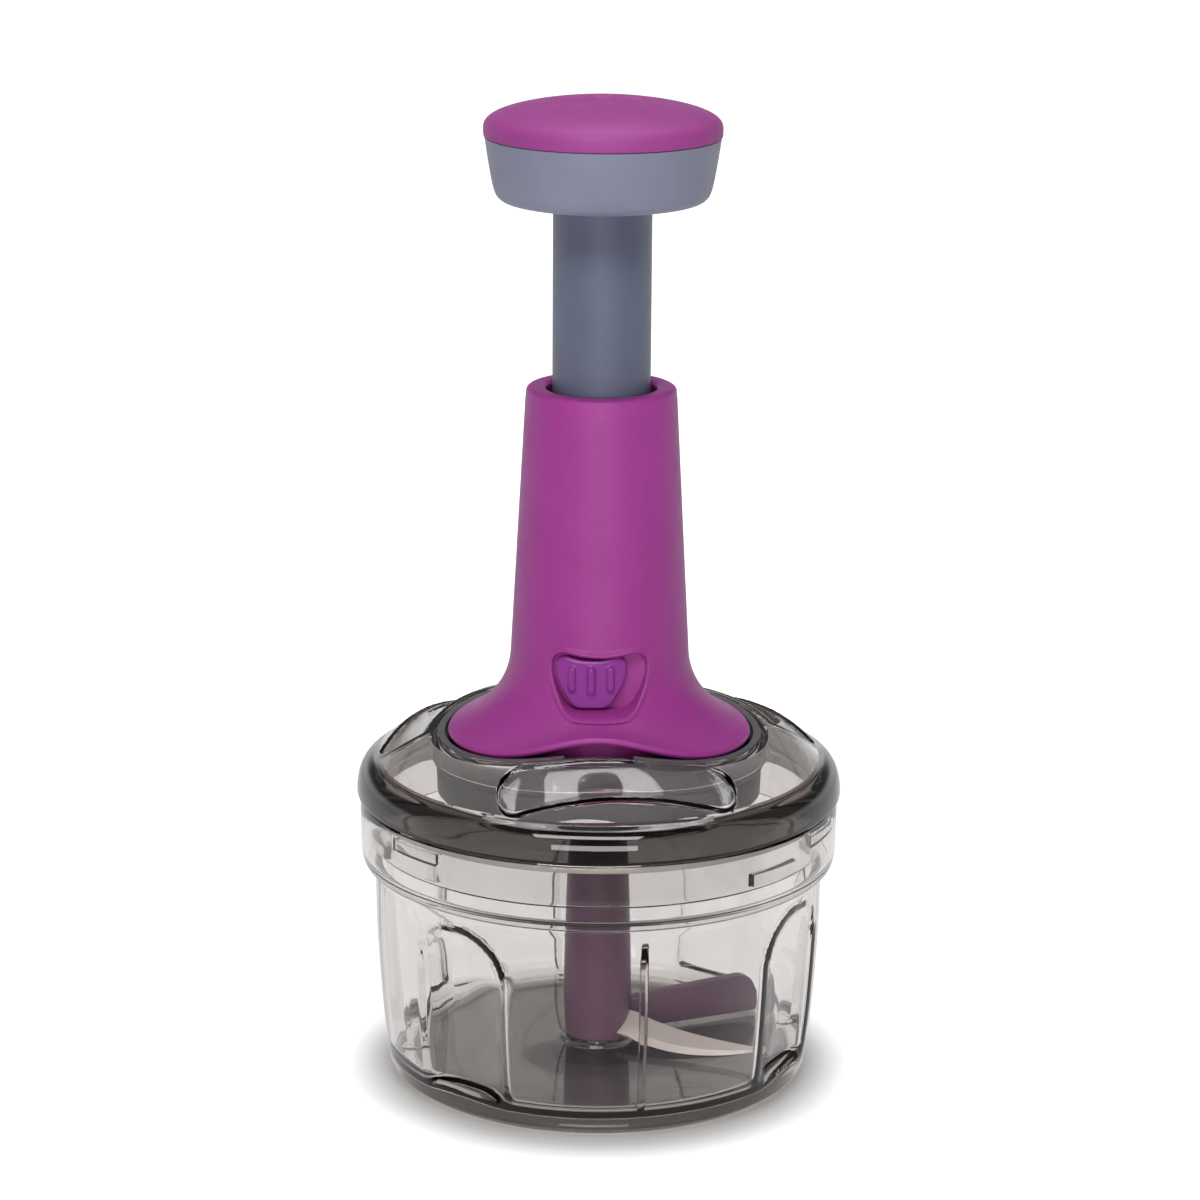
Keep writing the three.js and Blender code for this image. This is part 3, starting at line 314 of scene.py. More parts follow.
# Noise as a value from low to high
def mottle(add, point, kind, low=0, high=1, stretch=(1, 1, 1)):
    return add("MapRange", {
        "Value": noise(add, point, *spots[kind], stretch),
        "From Min": 0.3, "From Max": 0.7, "To Min": low, "To Max": high,
    })


# Moulded plastic: cloudy colour between two, uneven gloss, and a grain of a size and depth in millimetres
def plastic(name, base, shade, roughness, grain, depth, specular=0.5):
    material, add, point = startMaterial(name)
    bump = add("Bump", {
        "Strength": 1.0, "Distance": depth * mm, "Height": noise(add, point, grain, 3),
    })
    shader = add("BsdfPrincipled", {
        "Base Color": blendColours(add, mottle(add, point, "cloud"), colour(*base), colour(*shade)),
        "Roughness": mottle(add, point, "gloss", *roughness),
        "Specular IOR Level": specular, "Normal": bump,
    })
    add("OutputMaterial", {"Surface": shader})
    return material


# The rim colour, with the radius in mm where it starts and its blend width, is painted shade for the thick
# lid rim
smoke = {
    "tint": (0.49, 0.42, 0.39, 1), "density": 88, "bending": 1.57, "smudge": (0.965, 0.96, 0.955, 1),
    "shadow": (0.82, 0.81, 0.8, 1), "rim": (0.03, 0.027, 0.025, 1), "rimFrom": 71.6, "rimBlend": 0.8,
}


# Smoke-tinted clear plastic, darker where light passes a longer way through it. On request its base colour
# is darkened beyond a radius: painted shade for the thick rim
def clearPlastic(name, darkRim=False):
    material, add, point = startMaterial(name)
    base = blendColours(add, mottle(add, point, "smudge"), (1, 1, 1, 1), smoke["smudge"])
    # Painted shade: near black beyond the rim radius, standing for the dark seen through thick plastic
    if darkRim:
        flat = add("VectorMath", {0: point, 1: (1, 1, 0)}, operation="MULTIPLY")
        reach = add("VectorMath", {0: flat}, operation="LENGTH")
        low, high = smoke["rimFrom"] * mm, (smoke["rimFrom"] + smoke["rimBlend"]) * mm
        edge = fade(add, reach.outputs["Value"], low, high, 0.0, 1.0)
        base = blendColours(add, edge, base, smoke["rim"])
    ripple = noise(add, point, 9, 2, (1, 1, 0.4))
    bump = add("Bump", {"Strength": 0.3, "Distance": 0.02 * mm, "Height": ripple})
    shader = add("BsdfPrincipled", {
        "Base Color": base, "Transmission Weight": 1.0, "IOR": smoke["bending"], "Normal": bump,
        "Roughness": mottle(add, point, "clearGloss", 0.0, 0.03),
    })
    through = add("BsdfTransparent", {"Color": smoke["shadow"]})
    path = add("LightPath").outputs
    mix = add("MixShader", {0: path["Is Shadow Ray"], 1: shader, 2: through})
    inside = add("VolumeAbsorption", {
        "Color": smoke["tint"], "Density": smoke["density"],
    })
    add("OutputMaterial", {"Surface": mix, "Volume": inside})
    return material


def brushedSteel(name, base, stretch, roughness, metallic=1.0):
    material, add, point = startMaterial(name)
    light = colour(*base)
    darker = tuple(0.9 * c for c in light[:3]) + (1,)
    shader = add("BsdfPrincipled", {
        "Base Color": blendColours(add, mottle(add, point, "steelCloud"), light, darker),
        "Metallic": metallic, "Roughness": mottle(add, point, "brush", *roughness, stretch),
    })
    add("OutputMaterial", {"Surface": shader})
    return material


purple = plastic("satin purple plastic", (166, 60, 149), (158, 55, 142), (0.4, 0.48), 0.5, 0.012, 0.35)
purpleCap = plastic("grained purple plastic", (164, 68, 148), (156, 62, 141), (0.5, 0.58), 0.35, 0.03, 0.35)
purpleButton = plastic("smooth purple plastic", (150, 58, 154), (142, 54, 146), (0.2, 0.26), 0.5, 0.004)
stemPurple = plastic("stem purple plastic", (104, 74, 96), (97, 68, 89), (0.34, 0.44), 0.6, 0.01)
# The knob base and the tube are one slate plastic: the knob base is a lighter copy for painted light from
# below, the tube a darker copy for painted shade under the knob
slate = plastic("slate plastic", (136, 139, 160), (130, 133, 154), (0.4, 0.5), 0.4, 0.015, 0.4)
slateTube = plastic("slate tube plastic", (104, 109, 131), (98, 103, 125), (0.36, 0.44), 0.4, 0.01, 0.4)
hubGrey = plastic("hub grey plastic", (92, 90, 93), (86, 84, 87), (0.38, 0.48), 0.5, 0.01)
padRubber = plastic("pad rubber", (76, 73, 70), (69, 66, 64), (0.6, 0.75), 0.5, 0.02, 0.3)
sealSilicone = plastic("seal silicone", (190, 186, 180), (180, 176, 170), (0.45, 0.6), 0.6, 0.01, 0.4)
nylon = plastic("natural nylon", (228, 225, 214), (218, 214, 203), (0.45, 0.6), 0.6, 0.01, 0.4)
blackPlastic = plastic("black plastic", (38, 38, 40), (30, 30, 32), (0.4, 0.5), 0.5, 0.01)
smoky = clearPlastic("smoky clear plastic")
# The lid's plastic carries the painted rim shade
smokyLid = clearPlastic("smoky lid plastic", darkRim=True)
bladeSteel = brushedSteel("blade steel", (214, 206, 202), (1, 1, 1), (0.42, 0.5), 0.55)
turnedSteel = brushedSteel("turned steel", (196, 192, 188), (0.3, 0.3, 1), (0.16, 0.34))
springSteel = brushedSteel("spring steel", (176, 174, 172), (1, 1, 1), (0.25, 0.4))
print("materials made")


# The foot of the column and the hub housing round it share one lobed outline.
foot = {
    "radius": 46.4, "lobe": 2.2, "edge": 112.2, "arch": 6.8, "valley": 0.9, "archSharpness": 8,
    "hubMargin": 3.2, "hubArch": 3.2, "hubValley": 1.6,
}
# Gaps round pieces that sit and that run in others
seat = 0.3
running = 0.45
screwAzimuths = [60, 180, 300]


def screwHoles(radius, low, high, circle):
    return [rod("hole", radius, low, high, azimuth, circle) for azimuth in screwAzimuths]


def archShape(azimuth):
    return max(0.0, math.cos(math.radians(azimuth))) ** foot["archSharpness"]


def valleyShape(azimuth):
    return (1 + math.cos(math.radians(3 * azimuth))) / 2


def footRadiusAt(azimuth):
    return foot["radius"] - foot["lobe"] * math.cos(math.radians(3 * azimuth))


def footEdgeAt(azimuth):
    return foot["edge"] + foot["arch"] * archShape(azimuth) + foot["valley"] * valleyShape(azimuth)


def hubRadiusAt(azimuth):
    return footRadiusAt(azimuth) + foot["hubMargin"]


def hubTopAt(azimuth):
    rise = foot["hubArch"] * archShape(azimuth) + foot["hubValley"] * valleyShape(azimuth)
    return foot["edge"] + rise - seat


# Bowl
bowl = {
    "radius": 69.9, "top": 90.5, "ledge": 69, "wall": 2.4, "floor": 6.3, "floorTop": 8.6, "footGap": 1,
    "padRadius": 58.5, "pinRadius": 2.5, "bossRadius": 7, "bossBottom": 3.4,
    "body": [[0.942, 0.06], [0.969, 0.27], [0.986, 0.5], [0.997, 0.73], [1, 0.985]],
    "baffleWidth": 34, "baffleDepth": 4.6, "baffleTop": 64.5, "baffles": [62, 142, 242, 322],
    "baffleEdge": 11.8, "ribWidth": 1.8, "ribDepth": 3.6, "ribTop": 63.5, "ribs": [12, 102, 192, 282],
    "pinDiscRadius": 11.5, "pinDiscRise": 1.6, "bodyLow": 11.5, "wallLow": 12.5, "wallRings": 62,
    "lugAzimuth": 70, "lugWidth": 16, "lugDepth": 1.6,
}
collarRadius = bowl["radius"] + 4.6
collarInside = collarRadius - 2.7
lugAzimuths = [bowl["lugAzimuth"] + 120 * i for i in range(3)]


def lugAt(azimuth, centres, width):
    least = min(abs(fromCentre(azimuth, centre)) for centre in centres)
    return 1 - float(smooth(least, width / 2 - 0.3, width / 2 + 0.3))


def bowlOutline():
    b = bowl
    body = [[b["radius"] * r, lerp(b["footGap"], b["ledge"], z)] for r, z in b["body"]]
    footCurve = [[b["padRadius"] + 4.4, b["footGap"] + 0.5], [b["padRadius"] + 6, b["footGap"] + 2]]
    return spline([[b["padRadius"] + 2.2, b["footGap"]], *footCurve, *body], 10)


bowlOutside = bowlOutline()
bowlBody = [p for p in bowlOutside if p[1] > bowl["bodyLow"]]


# Radius of the plain inner wall at a height
def wallInside(height):
    heights = [p[1] for p in bowlBody]
    return float(np.interp(height, heights, [p[0] for p in bowlBody])) - bowl["wall"]


# Distance along the inner wall from an azimuth to a centre
def acrossWall(azimuth, centre):
    return abs(fromCentre(azimuth, centre)) * math.pi / 180 * (bowl["radius"] - bowl["wall"])


# How far the wall is pressed in to form a baffle, with the outline drawn in by a margin
def baffleAt(azimuth, height, margin):
    b = bowl
    half = b["baffleWidth"] / 2
    depth = 0.0
    for centre in b["baffles"]:
        across = acrossWall(azimuth, centre)
        above = max(0.0, height - (b["baffleTop"] - half))
        reach = math.hypot(across, above) / (half - margin)
        if reach < 1:
            depth = max(depth, b["baffleDepth"] * (1 - reach ** 2.6) ** 0.8)
    return depth


# How far baffles and ribs stand in from the wall
def bulge(azimuth, height):
    b = bowl
    depth = baffleAt(azimuth, height, 0)
    for centre in b["ribs"]:
        across = acrossWall(azimuth, centre)
        side = 1 - float(smooth(across, b["ribWidth"] / 2 - 0.15, b["ribWidth"] / 2 + 0.15))
        top = 1 - float(smooth(height, b["ribTop"] - 9, b["ribTop"] + 1)) ** 1.5
        depth = max(depth, b["ribDepth"] * side * top)
    return depth


def bowlProfile(azimuth):
    b = bowl
    ledge, top, wall, floor = b["ledge"], b["top"], b["wall"], b["floorTop"]
    lug = b["lugDepth"] * lugAt(azimuth, lugAzimuths, b["lugWidth"])
    inner, pin, edge = collarInside - lug, b["pinRadius"] + seat, b["padRadius"] + seat
    collar = rounded([
        [b["radius"], ledge - 0.6], [b["radius"] + 0.4, ledge + 0.1, 0.3],
        [collarRadius - 0.9, ledge + 1.1, 1.2], [collarRadius - 0.2, ledge + 5], [collarRadius, top - 4],
        [collarRadius - 0.2, top, 0.7], [collarInside, top, 0.4], [collarInside, top - 3.2],
        [inner, top - 3.5, 0.3], [inner, top - 6.5, 0.3], [collarInside, top - 6.8],
        [collarInside, ledge + 3.6, 1.4], [b["radius"] - wall, ledge + 2, 1.2],
    ])
    inside = []
    for height in np.linspace(ledge + 0.4, b["wallLow"], b["wallRings"]):
        share = float(smooth(height, floor - 2, floor + 1))
        inside.append([wallInside(height) - bulge(azimuth, height) * share, height])
    low = inside[-1][0]
    curve = [[low - 0.25, 11.4], [low - 0.9, 10.3], [low - 1.8, 9.4], [low - 3.2, 8.8], [low - 5, floor]]
    disc, socket = floor + b["pinDiscRise"], b["bossBottom"] + 1.2
    raised = rounded([
        [low - 9, floor], [b["pinDiscRadius"] + 0.4, floor, 0.5], [b["pinDiscRadius"], disc, 0.5],
        [pin, disc, 0.2], [pin, socket, 0.2], [0, socket],
    ])
    outside = []
    for radius, height in bowlOutside[:-1]:
        share = float(smooth(height, 9, 13))
        outside.append([radius - baffleAt(azimuth, height, 1.3) * share, height])
    under = rounded([
        [0, b["bossBottom"]], [b["bossRadius"], b["bossBottom"], 0.5],
        [b["bossRadius"] + 0.4, b["floor"], 0.5], [edge, b["floor"], 0.4], [edge, b["footGap"], 0.3],
        [b["padRadius"] + 2, b["footGap"]],
    ])
    return [*under, *outside, *collar, *inside, *curve, *raised]


def makeBowl():
    zones = [(centre, 1.6, 0.2) for centre in bowl["ribs"]]
    zones += [(c + s * bowl["lugWidth"] / 2, 0.6, 0.2) for c in lugAzimuths for s in (-1, 1)]
    zones += [(c + s * bowl["baffleEdge"], 0.8, 0.2) for c in bowl["baffles"] for s in (-1, 1)]
    azimuths = withDense(around(270), zones)
    piece = revolve("smoky_bowl", bowlProfile, azimuths, closed=False)
    place(piece, smoky, "bowl", "smoky_clear", "bowl")


pad = {"rings": 6, "first": 12, "step": 7.2, "depth": 0.5, "pocket": 8}


def makePad():
    radius, deep = bowl["padRadius"], pad["depth"]
    height = bowl["floor"] - seat
    pocket = bowl["bossBottom"] - seat
    rings = []
    for i in range(pad["rings"]):
        start = pad["first"] + pad["step"] * i
        rings += [[start, 0, 0.3], [start + 0.5, deep, 0.3], [start + 1.7, deep, 0.3], [start + 2.2, 0, 0.3]]
    profile = rounded([
        [0, 0], *rings, [radius, 0, 1.4], [radius, height, 0.8], [pad["pocket"] + 0.4, height, 0.4],
        [pad["pocket"], pocket, 0.4], [0, pocket],
    ])
    piece = revolve("non_slip_pad", lambda a: profile, around(180), closed=False)
    place(piece, padRubber, "bowl", "pad_rubber", "base_pad")


makeBowl()
makePad()
print("bowl made")


# Lid
lid = {
    "radius": 75.5, "rimBottom": 91.4, "skirtWall": 2, "domeWall": 2.4, "collarBottom": 104.2,
    "domeRise": 1.6, "domeRings": [9, 22, 11], "azimuths": 510,
    "scoops": [5.8, 125.8, 245.8], "scoopCentre": 56.9, "scoopHalfLength": 28.5, "scoopHalfWidth": 6.6,
    "scoopWiden": 0.14, "scoopBend": 0.0039, "scoopDepth": 3, "scoopRound": 0.6, "scoopEnd": 34.5,
    "spanEnd": [60, 61], "spanFade": [35, 43], "collar": 1.5, "lugHeight": 3.6, "turn": 22,
}
hub = {
    "floor": 93, "floorTop": 95.5, "rimHeight": 1.6, "step": 0.2, "rimWidth": 2.4, "wallInset": 3.5,
    "rimDrop": 1.2, "bead": 0.9, "beadHeight": 1.4, "notchDepth": 5, "notchInside": 9.5,
    "notchOutside": 17.5, "shaft": 5, "screwCircle": 21.5, "screwHole": 1.9,
}
domeEnd = lid["radius"] - 5.5
rimShoulder = [domeEnd, lid["rimBottom"] + 10.8]
skirtRadius = collarInside - 2.2
skirtBottom = lid["rimBottom"] - 15


# Distance from the middle line of the nearest finger scoop, as a share of its half width there
def scoopReach(radius, azimuth):
    least = np.full(radius.shape, 9.0)
    half = lid["scoopHalfLength"]
    for centre in lid["scoops"]:
        a = math.radians(fromCentre(azimuth, centre))
        if abs(a) > 1:
            continue
        along, across = radius * math.sin(a), radius * math.cos(a)
        nearest = np.clip(along, -half, half)
        middle = lid["scoopCentre"] - lid["scoopBend"] * nearest ** 2
        width = lid["scoopHalfWidth"] * (1 + lid["scoopWiden"] * (nearest / half) ** 2)
        least = np.minimum(least, np.hypot(along - nearest, across - middle) / width)
    return least


# Height of the plain dome at an array of radii
def domeHeight(radius, azimuth, inner):
    top = hubTopAt(azimuth) - seat
    crown = [lerp(inner, domeEnd, 0.45), top + lid["domeRise"] * valleyShape(azimuth)]
    run = np.array(bezier([inner, top], crown, rimShoulder, 60))
    return np.interp(radius, run[:, 0], run[:, 1])


# Radii of the inner and outer edge of a scoop at an azimuth, drawn together where there is none
def scoopSpan(azimuth, inner):
    plain = [lerp(inner, domeEnd, 0.3), lerp(inner, domeEnd, 0.7)]
    radius = np.linspace(inner + 0.2, domeEnd - 0.2, 400)
    away = min(abs(fromCentre(azimuth, c)) for c in lid["scoops"])
    inside = radius[scoopReach(radius, azimuth) < 1]
    if len(inside) == 0:
        share = float(smooth(away, *lid["spanFade"]))
        return [lerp(end, edge, share) for end, edge in zip(lid["spanEnd"], plain)]
    middle = (inside[0] + inside[-1]) / 2
    half = max((inside[-1] - inside[0]) / 2, 0.5)
    return [middle - half, middle + half]


# Radii of the dome's rings from its opening out, closer together towards the edges of a scoop
def domeRadii(azimuth, inner):
    first, middle, last = lid["domeRings"]
    low, high = scoopSpan(azimuth, inner)
    floor = (low + high) / 2 - (high - low) / 2 * np.cos(np.pi * np.arange(middle + 1) / middle)
    return np.concatenate([
        np.linspace(inner, low, first + 1)[:-1], floor, np.linspace(high, domeEnd, last + 1)[1:],
    ])


def scoopedHeight(radius, azimuth, inner):
    sunk = np.clip(1 - scoopReach(radius, azimuth) ** 2, 0, 1) ** lid["scoopRound"]
    return domeHeight(radius, azimuth, inner) - lid["scoopDepth"] * sunk


# Height of the dome's underside, one wall thickness from the nearest spot of the outside
def underHeight(radius, azimuth, inner):
    wall = lid["domeWall"]
    outside = np.linspace(inner, domeEnd, 240)
    gap = outside[None, :] - radius[:, None]
    drop = np.sqrt(np.clip(wall ** 2 - gap ** 2, 0, None))
    reached = np.where(np.abs(gap) < wall, scoopedHeight(outside, azimuth, inner)[None, :] - drop, 999)
    return reached.min(1)


def lidProfile(azimuth):
    rim, radius = lid["rimBottom"], lid["radius"]
    opening = hubRadiusAt(azimuth) + seat
    collarOut = opening + lid["collar"]
    radii = domeRadii(azimuth, opening)
    dome = np.stack([radii, scoopedHeight(radii, azimuth, opening)], -1)[::-1].tolist()
    shares = (radii - opening) / (domeEnd - opening)
    lowRadii = lerp(collarOut, skirtRadius - lid["skirtWall"] - 0.4, shares)
    under = np.stack([lowRadii, underHeight(lowRadii, azimuth, opening)], -1).tolist()
    lug = bowl["lugDepth"] * lugAt(azimuth, [a - lid["turn"] for a in lugAzimuths], bowl["lugWidth"])
    edge = spline([
        [radius, rim + 1], [radius - 0.3, rim + 4.2], [radius - 1.2, rim + 7.2], [radius - 2.9, rim + 9.4],
        rimShoulder,
    ], 5)
    lugLow = skirtBottom + lid["skirtWall"]
    lugHigh = lugLow + lid["lugHeight"]
    inner, outer = skirtRadius - lid["skirtWall"], skirtRadius + lug
    skirt = rounded([
        [inner, rim + 6, 2], [inner, skirtBottom, 0.6], [skirtRadius, skirtBottom, 0.6],
        [skirtRadius, lugLow - 0.2], [outer, lugLow, 0.2], [outer, lugHigh, 0.2],
        [skirtRadius, lugHigh + 0.2], [skirtRadius, rim, 0.3], [radius - 0.5, rim],
    ], steps=3)
    collar = rounded([
        dome[-1], [opening, lid["collarBottom"], 0.3], [collarOut, lid["collarBottom"], 0.3],
        [collarOut, under[0][1] - 0.8],
    ], steps=3)
    return [[radius - 0.2, rim + 0.25], *edge[:-1], *dome[:-1], *collar, *under[1:], *skirt]


def makeLid():
    ends = [(c + side * lid["scoopEnd"], 1.2, 0.15) for c in lid["scoops"] for side in (-1, 1)]
    piece = revolve("smoky_lid", lidProfile, withDense(around(lid["azimuths"]), ends))
    place(piece, smokyLid, "lid", "smoky_clear", "lid")


def makeSeal():
    inner, outer = skirtRadius + running, collarInside - seat
    low, high = lid["rimBottom"] - 3.6, lid["rimBottom"] - seat
    corners = [[inner, low, 0.4], [outer, low, 0.4], [outer, high, 0.4], [inner, high, 0.4]]
    profile = rounded(corners, closed=True)
    piece = revolve("lid_seal_ring", lambda a: profile, around(180))
    place(piece, sealSilicone, "seal", "silicone", "lid_seal")


def hubProfile(azimuth):
    h = hub
    outer, top = hubRadiusAt(azimuth), hubTopAt(azimuth)
    wall, rimInside, inner = outer - h["step"], outer - h["rimWidth"], outer - h["wallInset"]
    beadTop = lid["collarBottom"] - seat
    beadLow, beadOut, rimLow = beadTop - h["beadHeight"], wall + h["bead"], top - h["rimHeight"]
    bore = h["shaft"] + running
    chamferTop = foot["edge"] - h["rimDrop"]
    return rounded([
        [wall, h["floor"], 0.5], [wall, beadLow - h["bead"]], [beadOut, beadLow, 0.3],
        [beadOut, beadTop, 0.2], [wall, beadTop], [wall, rimLow], [outer, rimLow, 0.2],
        [outer, top, 0.5], [rimInside, top, 0.5], [rimInside, chamferTop, 0.4],
        [inner, chamferTop - (h["wallInset"] - h["rimWidth"]), 0.4], [inner, h["floorTop"], 0.6],
        [bore, h["floorTop"], 0.3], [bore, h["floor"], 0.3],
    ], closed=True, steps=3)


# The rim is left open in front, under the arch of the foot, with slanting ends
def hubNotch():
    h = hub
    front = foot["radius"] - foot["lobe"] + foot["hubMargin"]
    slant = (h["notchOutside"] - h["notchInside"]) / h["rimWidth"]
    far = (h["notchOutside"] + slant * 3, -front - 3)
    close = (h["notchInside"] - slant * 0.4, -front + h["wallInset"] + 0.4)
    outline = [(-far[0], far[1]), far, close, (-close[0], close[1])]
    low = hubTopAt(0) - h["notchDepth"]
    return extruded("notch", outline, low, low + h["notchDepth"] + 3)


def makeHub():
    piece = revolve("hub_collar", hubProfile, around(240))
    holes = screwHoles(hub["screwHole"], hub["floor"] - 1, hub["floorTop"] + 1, hub["screwCircle"])
    combine(piece, [*holes, hubNotch()], "DIFFERENCE")
    place(piece, hubGrey, "lid", "hub_grey", "hub_housing")


makeLid()
makeSeal()
makeHub()
print("lid made")


# Column
column = {
    "top": 219.9, "topRadius": 23, "flareTop": 136.2, "flareRadius": 27.6, "bore": 16.9, "spigot": 26,
    "lockHeight": 133.2, "halfTop": 10.8, "halfBottom": 2.6, "halfHeight": 8, "travel": 5, "margin": 0.9,
    "recessFloor": 22.6, "borderWidth": 2.0, "borderRise": 1.1, "shell": [2.2, 1.4], "screwTop": 110.2,
    "zoneHalf": 22, "zoneLow": 123, "zoneTop": 148, "zoneFront": 15, "zoneRadius": 24,
    "tongueHalf": 2, "slotHalf": 1.95,
}
lockSide = column["margin"] + column["travel"] / 2


# Outline of the lock slider as (x, z) round its own middle, anticlockwise from the bottom
def shield(halfTop, halfBottom, halfHeight, steps=10):
    corner, dip = halfHeight * 0.45, halfHeight * 0.12
    low, high = -halfHeight, halfHeight
    side = [halfBottom + corner * 1.4, low + corner]
    right = bezier([halfBottom, low], [halfBottom + corner, low], side, steps)
    right += bezier(right[-1], [halfTop, 0], [halfTop, high - corner], steps)[1:]
    right += bezier([halfTop, high - corner], [halfTop, high], [halfTop - corner, high], steps)[1:]
    top = bezier([halfTop - corner, high], [0, high - dip * 2], [-halfTop + corner, high], 2 * steps)[1:-1]
    left = [[-x, z] for x, z in right[::-1]]
    return right + top + left


# Signed distance from points to a closed outline, below zero inside it
def outlineDistance(outline, x, z):
    p = np.array(outline, float)
    q = np.roll(p, -1, 0)
    shape = x.shape
    x, z = x.ravel()[:, None], z.ravel()[:, None]
    edge = q - p
    along = ((x - p[:, 0]) * edge[:, 0] + (z - p[:, 1]) * edge[:, 1]) / np.maximum((edge ** 2).sum(1), 1e-12)
    along = np.clip(along, 0, 1)
    gap = np.hypot(x - p[:, 0] - along * edge[:, 0], z - p[:, 1] - along * edge[:, 1]).min(1)
    crosses = (p[:, 1] > z) != (q[:, 1] > z)
    rise = np.where(edge[:, 1] == 0, 1e-12, edge[:, 1])
    left = x < p[:, 0] + (z - p[:, 1]) * edge[:, 0] / rise
    inside = (crosses & left).sum(1) % 2 == 1
    return np.where(inside, -gap, gap).reshape(shape)


recessOutline = shield(
    column["halfTop"] + lockSide, column["halfBottom"] + lockSide, column["halfHeight"] + column["margin"],
)


# Sinks the lock recess into the column's front and raises the border round it
def carveLock(points):
    x, y, z = points[..., 0], points[..., 1], points[..., 2]
    c = column
    front = (y < -c["zoneFront"]) & (np.abs(x) < c["zoneHalf"]) & (np.hypot(x, y) > c["zoneRadius"])
    front &= (z > c["zoneLow"]) & (z < c["zoneTop"])
    distance = np.full(x.shape, 9.0)
    distance[front] = outlineDistance(recessOutline, x[front], z[front] - c["lockHeight"])
    width = c["borderWidth"]
    lip = np.clip(1 - np.abs(distance - width / 2) / (width / 2 + 0.3), 0, 1)
    y = y - c["borderRise"] * lip * lip * (3 - 2 * lip)
    sunk = 1 - smooth(distance, -0.35, 0.25)
    y = np.where(front, lerp(y, -c["recessFloor"], sunk), y)
    return np.stack([x, y, z], -1)


def columnProfile(azimuth):
    c = column
    edgeRadius, edge = footRadiusAt(azimuth), footEdgeAt(azimuth)
    wide, narrow, bore, spigot = c["flareRadius"], c["topRadius"], c["bore"], c["spigot"]
    flareTop, top, zoneTop = c["flareTop"], c["top"], c["zoneTop"]
    flare = bezier([edgeRadius - 0.5, edge + 1.2], [wide + 1.1, flareTop - 15], [wide, flareTop], 56)
    inward, down = c["shell"]
    hollow = [[r - inward, z - down] for r, z in flare[3:24:2]][::-1]
    roof = hollow[0][1] + down
    bottom = hub["floorTop"] + seat
    under = [[spigot, bottom], [spigot, roof - 1], [spigot + 0.3, roof - 0.3], [spigot + 1.4, roof]]
    lip = spline([
        [edgeRadius - 2.1, edge + 0.1], [edgeRadius - 1.6, edge - 0.75], [edgeRadius - 0.9, edge - 1],
        [edgeRadius - 0.25, edge - 0.5], [edgeRadius, edge + 0.2], [edgeRadius - 0.5, edge + 1.2],
    ], 4)
    heights = [*np.linspace(flareTop, zoneTop, 36)[1:], *np.linspace(zoneTop, top - 3.5, 18)[1:]]
    shaft = [[lerp(wide, narrow, (z - flareTop) / (top - flareTop)), z] for z in heights]
    mouth = rounded([
        [narrow + 0.1, top - 3], [narrow - 0.1, top, 2.2], [bore, top, 1.6], [bore, foot["edge"]],
    ], steps=6)
    return [*under, *hollow, *lip[:-1], *flare, *shaft, *mouth, [bore, bottom]]


def makeColumn():
    azimuths = withDense(around(240), [(0, 34, 0.5)])
    piece = revolve("handle_shell", columnProfile, azimuths, reshape=carveLock)
    half = column["tongueHalf"] + running + column["travel"] / 2
    low, high = (column["lockHeight"] + side * column["slotHalf"] for side in (-1, 1))
    slot = block("slot", [-half, half], [-column["recessFloor"] - 2, -12], [low, high])
    holes = screwHoles(hub["screwHole"], hub["floorTop"] - 2, column["screwTop"], hub["screwCircle"])
    combine(piece, [slot, *holes], "DIFFERENCE")
    place(piece, purple, "lid", "purple", "handle_column")


slider = {
    "face": 27.2, "back": 22.9, "rounding": 0.9, "rings": 56, "ringSpread": 1.5, "middle": [0, 1.0],
    "ribs": [[-5.8, 5.8, 0.3], [0, 9.8, 0.8], [5.8, 5.8, 0.3]], "ribRadius": 1.2, "ribTop": 5.4,
    "ribSink": 0.6, "fillet": 0.12, "tongueTip": 13.4, "tongueHigh": 1.5,
}


def makeSlider():
    c, s = column, slider
    outline = shield(c["halfTop"], c["halfBottom"], c["halfHeight"], 16)
    middle = np.array(s["middle"])
    shares = 1 - np.linspace(0, 1, s["rings"])[:-1] ** s["ringSpread"]
    grid = np.array([middle + (np.array(outline) - middle) * share for share in shares])
    x, z = grid[..., 0], grid[..., 1]
    beyond = np.clip(s["rounding"] + outlineDistance(outline, x, z), 0, None)
    drop = s["rounding"] - np.sqrt(np.clip(s["rounding"] ** 2 - beyond ** 2, 0, None))
    face = np.sqrt(s["face"] ** 2 - x ** 2) - drop
    for offset, length, lift in s["ribs"]:
        ribMiddle = s["ribTop"] - s["ribRadius"] - length / 2
        along = np.clip(np.abs(z - ribMiddle) - length / 2, 0, None)
        away = np.hypot(x - offset, along) / s["ribRadius"]
        crest = math.sqrt(c["flareRadius"] ** 2 - offset ** 2) - s["ribSink"] + lift
        bump = crest + s["ribRadius"] * np.sqrt(np.clip(1 - away ** 2, 0, 1))
        fillet = np.exp(-np.clip(away - 1, 0, None) * 3) * s["fillet"]
        face = np.where(away < 1, np.maximum(face, bump), face + fillet)
    shift, high = -c["travel"] / 2, c["lockHeight"]
    points = np.stack([x + shift, -face, z + high], -1).reshape(-1, 3).tolist()
    count, centre = len(outline), len(points)
    points.append([middle[0] + shift, -float(face[-1].max()), middle[1] + high])
    points += [[u + shift, -s["back"], v + high] for u, v in outline]
    last, back = centre - count, centre + 1
    faces = []
    for start in range(0, last, count):
        faces += bridge(start, start + count, count)
    faces += [[last + j, last + (j + 1) % count, centre] for j in range(count)]
    faces += bridge(0, back, count)
    faces.append(list(range(back, back + count)))
    piece = finishMesh("lock_button", points, faces, 40)
    half, tall = c["tongueHalf"], s["tongueHigh"]
    ranges = [shift - half, shift + half], [-s["back"] - 0.6, -s["tongueTip"]], [high - tall, high + tall]
    combine(piece, [block("tongue", *ranges)], "UNION", 40)
    place(piece, purpleButton, "lock", "purple", "lock_slider")


makeColumn()
makeSlider()
print("column made")


